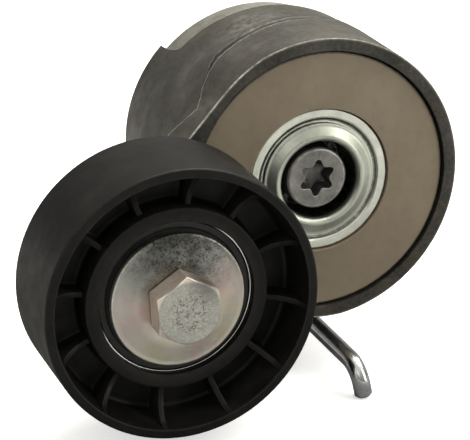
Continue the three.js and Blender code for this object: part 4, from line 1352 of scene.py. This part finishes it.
    def sleeves(self) -> None:
        """The plain bush in the arm's hub and the plastic sleeve round it."""
        bush = band(12.6, 14.1, 10.2, 41.3, 0.2)
        build_piece("bush_plain", [revolve(bush, 96)], NATURAL_NYLON, Body.ARM, "pivot_bush")
        sleeve = band(18.3, 19.7, 10.2, 35.2, 0.2)
        build_piece("sleeve_guide", [revolve(sleeve, 96)], BLACK_NYLON, Body.ARM, "spring_sleeve")

    def washer(self) -> None:
        """The dished washer: a raised centre under the bolt and a turned-down outer edge."""
        rim = self.washer_radius
        outline = [
            Corner(BOLT_CLEARANCE, 72.0, 0.2), Corner(10.55, 72.0, 0.4), Corner(12.0, 72.8, 0.4),
            Corner(rim, 72.8, 0.3), Corner(rim, 74.25, 0.45), Corner(rim - 1.1, 74.35, 0.5),
            Corner(10.5, self.washer_front, 0.9), Corner(BOLT_CLEARANCE, self.washer_front, 0.2),
        ]
        patch = revolve(outline, 160, self.layout.wheel_seat)
        build_piece("washer_dished", [patch], WASHER_ZINC, Body.ARM, "dished_washer")

    def hex_bolt(self) -> None:
        """The pulley bolt: a hexagon head chamfered round its face, and a threaded shank."""
        angles = around(240)
        corner = self.hex_flats / math.sqrt(3)
        hexagon = [polar(corner, 60 * i + 30 + self.hex_phase) for i in range(6)]
        side = convex_radius(angles, hexagon, 120.0)
        face = 7.2
        lift = self.hex_front - 0.62 * (side - face)
        tip = self.hex_rear - 30.0
        thread = thread_corners(tip + 1.0, self.hex_rear - 6.0, angles)
        outline = [
            Corner(0, tip), Corner(4, tip, 0.2), *thread, Corner(5, self.hex_rear, 0.1),
            Corner(side - 0.15, self.hex_rear, 0.15), Corner(side, self.hex_rear + 0.5, 0.3),
            Corner(side, lift, 0.22, 1.0), Corner(face, self.hex_front, 0.3, 0.0),
            Corner(0, self.hex_front),
        ]
        patch = revolve(outline, angles, self.layout.wheel_seat, loop=False, steps=3)
        build_piece("bolt_hex_head", [patch], HEX_ZINC, Body.ARM, "pulley_bolt")

    def bearing_parts(self) -> None:
        """The thin rear shield and the bearing's inner ring, with its ball groove."""
        seat = self.layout.wheel_seat
        shield = corners((8.5, 58.6, 0.1), (16.4, 58.6, 0.2), (16.4, 59.4, 0.2), (8.5, 59.4, 0.1))
        build_piece("shield_rear", [revolve(shield, 96, seat)], BRIGHT_ZINC, Body.ARM, "rear_shield")
        turn = np.linspace(-0.83, 0.83, 9)
        plane = self.layout.pulley_plane
        rear, front = plane - 6.0, plane + 6.0
        groove = [Corner(14.25 - 3.57 * math.cos(t), plane + 3.57 * math.sin(t)) for t in turn]
        ring = [
            Corner(8.5, rear, 0.4), Corner(11.9, rear, 0.3), *groove,
            Corner(11.9, front, 0.3), Corner(8.5, front, 0.4),
        ]
        build_piece("race_inner", [revolve(ring, 96, seat)], BEARING_STEEL, Body.ARM, "bearing_inner_ring")


@dataclass
class PulleyAssembly:
    """The pulley: ribbed wheel, the bearing's outer ring and its two seals, and the ball set."""

    layout: Layout
    radius: float = 32.5
    half_width: float = 12.6
    lip_radius: float = 18.5
    hub_radius: float = 21.8
    hub_stand: float = 7.8
    hub_bore: float = 20.3
    rim_inner: float = 30.2
    rim_root: float = 29.4
    web_half: float = 1.25
    rib_count: int = 12
    rib_phase: float = -8.6
    rib_half: float = 0.65
    ball_count: int = 8
    ball_radius: float = 3.37
    ball_orbit: float = 14.25

    def build(self) -> None:
        """Makes every piece of the pulley and of the ball set."""
        self.wheel()
        self.bearing()
        self.balls()

    def rib_columns(self, radius: FloatArray) -> tuple[FloatArray, FloatArray, FloatArray]:
        """Angles of the wheel's columns at each radius, set so that they follow the ribs' sides.

        A column w millimetres beside a rib's middle plane lies at asin(w / radius) from it, and
        the columns between two ribs share out what is left of the pitch.

        Args:
            radius: (rows,) radii.

        Returns:
            (rows, columns) angles, and for each column how far the rib's top has dropped and how
            far the floor has risen; NaN where the column is off the rib or off the fillet.
        """
        half = self.rib_half
        width = np.array([
            0.0, half - 0.3, half - 0.14, half - 0.04, half,
            half + 0.08, half + 0.18, half + 0.36, half + 0.62,
        ])
        drop = np.array([0.0, 0.0, 0.04, 0.12, 0.28, np.nan, np.nan, np.nan, np.nan])
        rise = np.array([0, 0, 0, 0, 0, 0.62, 0.32, 0.1, 0.0])
        pitch = math.pi / self.rib_count
        beside = np.arcsin(width[None, :] / radius[:, None])
        share = np.array([0.25, 0.5, 0.75])
        between = beside[:, -1:] + (pitch - beside[:, -1:]) * share[None, :]
        right = np.concatenate([beside, between, np.full((len(radius), 1), pitch)], axis=1)
        drop = np.concatenate([drop, np.full(4, np.nan)])
        rise = np.concatenate([rise, np.zeros(4)])
        whole = np.concatenate([right, -right[:, -2:0:-1]], axis=1)
        drop = np.concatenate([drop, drop[-2:0:-1]])
        rise = np.concatenate([rise, rise[-2:0:-1]])
        starts = 2 * pitch * np.arange(self.rib_count) + math.radians(self.rib_phase)
        whole = np.where(whole < 0, whole + 2 * pitch, whole)
        angles = (starts[None, :, None] + whole[:, None, :]).reshape(len(radius), -1)
        return angles, np.tile(drop, self.rib_count), np.tile(rise, self.rib_count)

    def rib_top(self, radius: FloatArray) -> FloatArray:
        """Height of a rib's edge over the middle plane: a parabola from the hub up to the rim."""
        t = np.clip((radius - 21.05) / 9.75, 0.0, 1.0)
        return (1 - t) ** 2 * 6.4 + 2 * t * (1 - t) * 4.5 + t**2 * 11.6

    def wheel(self) -> None:
        """The moulded wheel, as one surface.

        On each face the height is the larger of the rib's height by column and the hub, floor
        and rim heights by row; the rear face is the front one mirrored in the middle plane.
        """
        hub, stand, floor = self.hub_radius, self.hub_stand, self.web_half
        root, inner, full, face = self.rim_root, self.rim_inner, self.radius, self.half_width
        profile = np.array([
            (self.lip_radius, stand - 0.3), (self.lip_radius + 0.08, stand - 0.08),
            (self.lip_radius + 0.3, stand),
            (hub - 0.5, stand), (hub - 0.3, stand), (hub - 0.09, stand - 0.08), (hub, stand - 0.3),
            (hub + 0.36, floor + 0.9), (hub + 0.44, floor + 0.45), (hub + 0.65, floor + 0.15),
            (hub + 1.0, floor),
            (hub + 1.3, floor), (24.3, floor), (25.7, floor), (27.0, floor), (root - 1.3, floor),
            (root - 1.0, floor),
            (root - 0.6, floor + 0.12), (root - 0.25, floor + 0.4), (root, floor + 0.9),
            (inner - 0.02, face - 0.4),
            (inner + 0.08, face - 0.12), (inner + 0.32, face), (inner + 0.5, face), (full - 0.75, face),
            (full - 0.5, face), (full - 0.2, face - 0.12), (full - 0.04, face - 0.35), (full, face - 0.6),
            (full, face - 0.9), (full, face - 5),
        ])
        bends = np.zeros(len(profile))
        # Rounded edges take the worn and painted lit edge colour, and the fillets at the feet of hub and rim
        # take painted shade.
        bends[[1, 2, 5, 6, 21, 22, 26, 27]] = 1.0
        bends[[8, 9, 17, 18]] = -1.0
        radius, height = profile[:, 0], profile[:, 1]
        angles, drop, rise = self.rib_columns(radius)
        top = self.rib_top(radius)[:, None] - drop[None, :]
        between = (radius > hub - 0.1) & (radius < inner + 0.1)
        rib = np.where(np.isnan(top), floor + rise[None, :], top)
        level = height[:, None] * np.ones_like(rib)
        lifted = np.where(between[:, None], np.maximum(level, rib), level)
        edge = np.where(lifted > height[:, None] + 0.05, 0.0, bends[:, None])
        rounded_off = np.nan_to_num(drop, nan=0.0) > 0.02
        on_edge = between[:, None] & (lifted > level + 0.4) & rounded_off[None, :]
        edge = np.where(on_edge, 1.0, edge)
        bore = np.array([
            (self.lip_radius, 6.3), (self.hub_bore, 6.3), (self.hub_bore, 0.0), (self.hub_bore, -6.3),
            (self.lip_radius, -6.3),
        ])
        bore_angles, _, _ = self.rib_columns(bore[:, 0])
        bore_height = np.broadcast_to(bore[:, 1:], bore_angles.shape)
        plane = self.layout.pulley_plane
        spread = np.broadcast_to(radius[:, None], lifted.shape)
        bore_radius = np.broadcast_to(bore[::-1, :1], bore_angles.shape)
        loops_radius = np.concatenate([spread, spread[::-1], bore_radius])
        loops_height = np.concatenate([lifted, -lifted[::-1], bore_height[::-1]])
        loops_angle = np.concatenate([angles, angles[::-1], bore_angles[::-1]])
        x, y = loops_radius * np.cos(loops_angle), loops_radius * np.sin(loops_angle)
        points = np.stack([x, y, plane + loops_height], axis=-1)
        edges = np.concatenate([edge, edge[::-1], np.zeros(bore_angles.shape)])
        patch = Patch(self.layout.wheel_seat.place(points), edges, loop=True)
        build_piece("wheel_ribbed", [patch], BLACK_NYLON, Body.PULLEY, "pulley_wheel")

    def bearing(self) -> None:
        """The bearing's outer ring with its ball groove, and the two rubber seals."""
        seat, plane = self.layout.wheel_seat, self.layout.pulley_plane
        turn = np.linspace(0.83, -0.83, 9)
        groove = [Corner(14.25 + 3.57 * math.cos(t), plane + 3.57 * math.sin(t)) for t in turn]
        ring = [
            Corner(19.5, 59.7, 0.3), Corner(20.0, 60.2, 0.3), Corner(20.0, 71.2, 0.3),
            Corner(19.5, 71.7, 0.3),
            Corner(18.15, 71.7, 0.2), Corner(18.15, 70.1, 0.1), Corner(16.6, 70.1, 0.1), *groove,
            Corner(16.6, 61.3, 0.1), Corner(17.9, 61.3, 0.1), Corner(17.9, 59.7, 0.2),
        ]
        outer_ring = revolve(ring, 144, seat)
        build_piece("race_outer", [outer_ring], BEARING_STEEL, Body.PULLEY, "bearing_outer_ring")
        ribs = corners((13.2, 60.0, 0.15), (13.5, 60.25, 0.2), (16.3, 60.25, 0.2), (16.6, 60.0, 0.15))
        rim = corners((17.6, 60.0, 0.2), (17.6, 61.0, 0.15), (12.2, 61.0, 0.15))
        outline = [Corner(12.2, 60.0, 0.2), *ribs, *rim]
        build_piece("seal_back", [revolve(outline, 120, seat)], SEAL_RUBBER, Body.PULLEY, "rear_seal")
        ribs = corners((16.6, 71.4, 0.15), (16.3, 71.15, 0.2), (13.5, 71.15, 0.2), (13.2, 71.4, 0.15))
        rim = corners((12.2, 70.4, 0.15), (18.0, 70.4, 0.15), (18.0, 71.4, 0.2))
        outline = [*rim, *ribs, Corner(12.2, 71.4, 0.2)]
        build_piece("seal_face", [revolve(outline, 120, seat)], SEAL_RUBBER, Body.PULLEY, "front_seal")

    def balls(self) -> None:
        """Eight balls on their orbit, and a finish for the cage between them."""
        x, y = self.layout.wheel_centre
        for i in range(self.ball_count):
            dx, dy = polar(self.ball_orbit, 360 / self.ball_count * i)
            patch = sphere((x + dx, y + dy, self.layout.pulley_plane), self.ball_radius)
            build_piece(f"bearing_ball_{i + 1}", [patch], BEARING_STEEL, Body.BALLS, f"ball_{i + 1}")
        dress_node("bearing_cage", NATURAL_NYLON)


@dataclass
class LockingPin:
    """The bent rod through the lock ears."""

    layout: Layout
    tail: float = 10.0
    bend_height: float = 64.3
    bend_radius: float = 5.0
    handle: float = 7.9
    handle_angle: float = -78.0
    chamfer: float = 0.45

    def build(self) -> None:
        """The rod: straight leg, quarter circle and handle, with chamfered ends."""
        x, y = polar(self.layout.lock_orbit, self.layout.lock_angle)
        dx, dy = polar(1.0, self.handle_angle)
        top = self.bend_height - self.bend_radius
        leg = np.linspace(self.tail + self.chamfer, top, 40)
        turn = np.linspace(0, np.pi / 2, 24)[1:]
        bend_out = self.bend_radius * (1 - np.cos(turn))
        bend_up = top + self.bend_radius * np.sin(turn)
        rest = np.linspace(self.bend_radius, self.handle - self.chamfer, 8)[1:]
        out = np.concatenate([[0, 0], np.zeros(40), bend_out, rest, [self.handle, self.handle]])
        up = np.concatenate([[self.tail, self.tail], leg, bend_up, np.full(len(rest) + 2, self.bend_height)])
        path = np.stack([x + dx * out, y + dy * out, up], -1)
        radius = np.full(len(path), self.layout.pin_radius)
        radius[[0, -1]] = 0.0
        radius[[1, -2]] = self.layout.pin_radius - self.chamfer
        across = np.array([-dy, dx, 0.0])
        build_piece("pin_rod", [tube(path, radius, across, 32)], PIN_ZINC, Body.PIN, "locking_pin")


# --------------------------------------------------------------------- studio


@dataclass
class Softbox:
    """A soft rectangular light that looks at the middle of the tensioner.

    Args:
        name: Name of the light.
        place: Where it stands, in metres.
        size: Its width and height, in metres.
        power: Its power, in watts.
    """

    name: str
    place: tuple[float, float, float]
    size: tuple[float, float]
    power: float


@dataclass
class Studio:
    """Camera, soft lights, pale surroundings and floor."""

    camera_place: tuple[float, float, float] = (-0.2032, -0.5412, 0.1860)
    right: tuple[float, float, float] = (0.93891, -0.34415, 0.0)
    up: tuple[float, float, float] = (0.11856, 0.32346, 0.93878)
    forward: tuple[float, float, float] = (0.32308, 0.88144, -0.34451)
    lens: float = 179.75
    target: tuple[float, float, float] = (-0.02, -0.04, 0.0)
    floor_radius: float = 4.0
    floor_gap: float = 0.0002
    floor_bounce: float = 0.60
    floor_glow: float = 0.55
    side_light: float = 0.12
    sky_light: float = 0.95
    backdrop: float = 0.92
    warmth: Colour = (1.0, 0.98, 0.91)
    softboxes: tuple[Softbox, ...] = (
        Softbox("top_softbox", (0.30, 0.10, 0.65), (0.90, 0.70), 8.0),
        Softbox("left_softbox", (-0.65, -0.45, 0.30), (0.30, 0.50), 0.5),
        Softbox("right_softbox", (0.60, -0.55, 0.25), (0.25, 0.50), 2.2),
        Softbox("front_softbox", (-0.38, -0.85, 0.42), (0.40, 0.30), 0.35),
    )

    def build(self) -> None:
        """Makes the camera, lights, world and floor."""
        self.camera()
        for softbox in self.softboxes:
            self.light(softbox)
        self.world()
        self.floor()
        bpy.context.scene.view_settings.view_transform = "Standard"

    def camera(self) -> None:
        """The camera, at its place and with its axes as matrix columns."""
        data = bpy.data.cameras.new("camera")
        data.lens, data.sensor_width = self.lens, 36.0
        data.clip_start, data.clip_end = 0.01, 20.0
        camera = bpy.data.objects.new("camera", data)
        axes = Matrix((self.right, self.up, [-v for v in self.forward])).transposed()
        camera.matrix_world = Matrix.Translation(self.camera_place) @ axes.to_4x4()
        bpy.context.scene.collection.objects.link(camera)
        bpy.context.scene.camera = camera

    def light(self, softbox: Softbox) -> None:
        """One soft rectangular light, turned towards the target."""
        data = bpy.data.lights.new(softbox.name, "AREA")
        data.shape = "RECTANGLE"
        data.size, data.size_y = softbox.size
        data.energy, data.color = softbox.power, self.warmth
        made = bpy.data.objects.new(softbox.name, data)
        aim = np.array(self.target) - np.array(softbox.place)
        made.rotation_euler = Vector(aim).to_track_quat("-Z", "Y").to_euler()
        made.location = softbox.place
        bpy.context.scene.collection.objects.link(made)

    def world(self) -> None:
        """Surroundings that light the object brightly from overhead and dimly from the sides."""
        world = bpy.data.worlds.new("surroundings")
        world.use_nodes = True
        tree = world.node_tree
        place = tree.nodes.new("ShaderNodeTexCoord")
        split = tree.nodes.new("ShaderNodeSeparateXYZ")
        tree.links.new(place.outputs["Generated"], split.inputs[0])
        ramp = map_range(tree, split.outputs["Z"], 0.0, 0.9, self.side_light, self.sky_light)
        seen = tree.nodes.new("ShaderNodeMix")
        tree.links.new(tree.nodes.new("ShaderNodeLightPath").outputs["Is Camera Ray"], seen.inputs[0])
        tree.links.new(ramp, seen.inputs[2])
        seen.inputs[3].default_value = self.backdrop
        background = tree.nodes["Background"]
        tree.links.new(seen.outputs[0], background.inputs["Strength"])
        tint = tree.nodes.new("ShaderNodeMix")
        tint.data_type = "RGBA"
        tree.links.new(seen.inputs[0].links[0].from_socket, tint.inputs[0])
        tint.inputs[6].default_value, tint.inputs[7].default_value = (*self.warmth, 1.0), (1.0, 1.0, 1.0, 1.0)
        tree.links.new(tint.outputs[2], background.inputs["Color"])
        bpy.context.scene.world = world

    def floor(self) -> None:
        """A plain pale floor just under the lowest point, as a disc of rings."""
        low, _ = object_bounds()
        angles = around(64)
        radius = np.array([0.0, 0.3, 1.0, self.floor_radius])[:, None]
        x, y = radius * np.cos(angles), radius * np.sin(angles)
        points = np.stack([x, y, np.full_like(x, low.z - self.floor_gap)], -1)
        mesh = bpy.data.meshes.new("floor")
        mesh.from_pydata(points.reshape(-1, 3), [], grid_quads(*points.shape[:2], loop=False).tolist())
        mesh.materials.append(self.floor_paint())
        floor = bpy.data.objects.new("floor", mesh)
        bpy.context.scene.collection.objects.link(floor)
        floor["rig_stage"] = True

    def floor_paint(self) -> bpy.types.Material:
        """Matte pale paint, lit up a little for the camera, which throws little light back at the object,
        least within 0.2 m of the middle, a painted shadow.
        """
        paint = bpy.data.materials.new("floor_paint")
        paint.use_nodes = True
        tree = paint.node_tree
        shader = tree.nodes["Principled BSDF"]
        shader.inputs["Roughness"].default_value = 0.9
        seen = tree.nodes.new("ShaderNodeLightPath").outputs["Is Camera Ray"]
        away = tree.nodes.new("ShaderNodeVectorMath")
        away.operation = "LENGTH"
        tree.links.new(tree.nodes.new("ShaderNodeTexCoord").outputs["Object"], away.inputs[0])
        # Painted shadow: to rays other than the camera's the floor is dark near the middle, reaching its full
        # bounce by 0.2 m.
        bounce_with_painted_shadow = map_range(tree, away.outputs["Value"], 0.10, 0.20, 0.20, self.floor_bounce)
        shade = tree.nodes.new("ShaderNodeMix")
        tree.links.new(seen, shade.inputs[0])
        tree.links.new(bounce_with_painted_shadow, shade.inputs[2])
        shade.inputs[3].default_value = 0.9
        tree.links.new(shade.outputs[0], shader.inputs["Base Color"])
        glow = tree.nodes.new("ShaderNodeMath")
        glow.operation = "MULTIPLY"
        tree.links.new(seen, glow.inputs[0])
        glow.inputs[1].default_value = self.floor_glow
        shader.inputs["Emission Color"].default_value = (1.0, 1.0, 1.0, 1.0)
        tree.links.new(glow.outputs[0], shader.inputs["Emission Strength"])
        return paint


def main() -> None:
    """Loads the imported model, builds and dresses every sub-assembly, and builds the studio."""
    logging.basicConfig(level=logging.INFO, format="%(name)s: %(message)s")
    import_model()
    layout = Layout()
    BaseAssembly(layout).build()
    ArmAssembly(layout).build()
    PulleyAssembly(layout).build()
    LockingPin(layout).build()
    Studio().build()


if __name__ == "__main__":
    main()
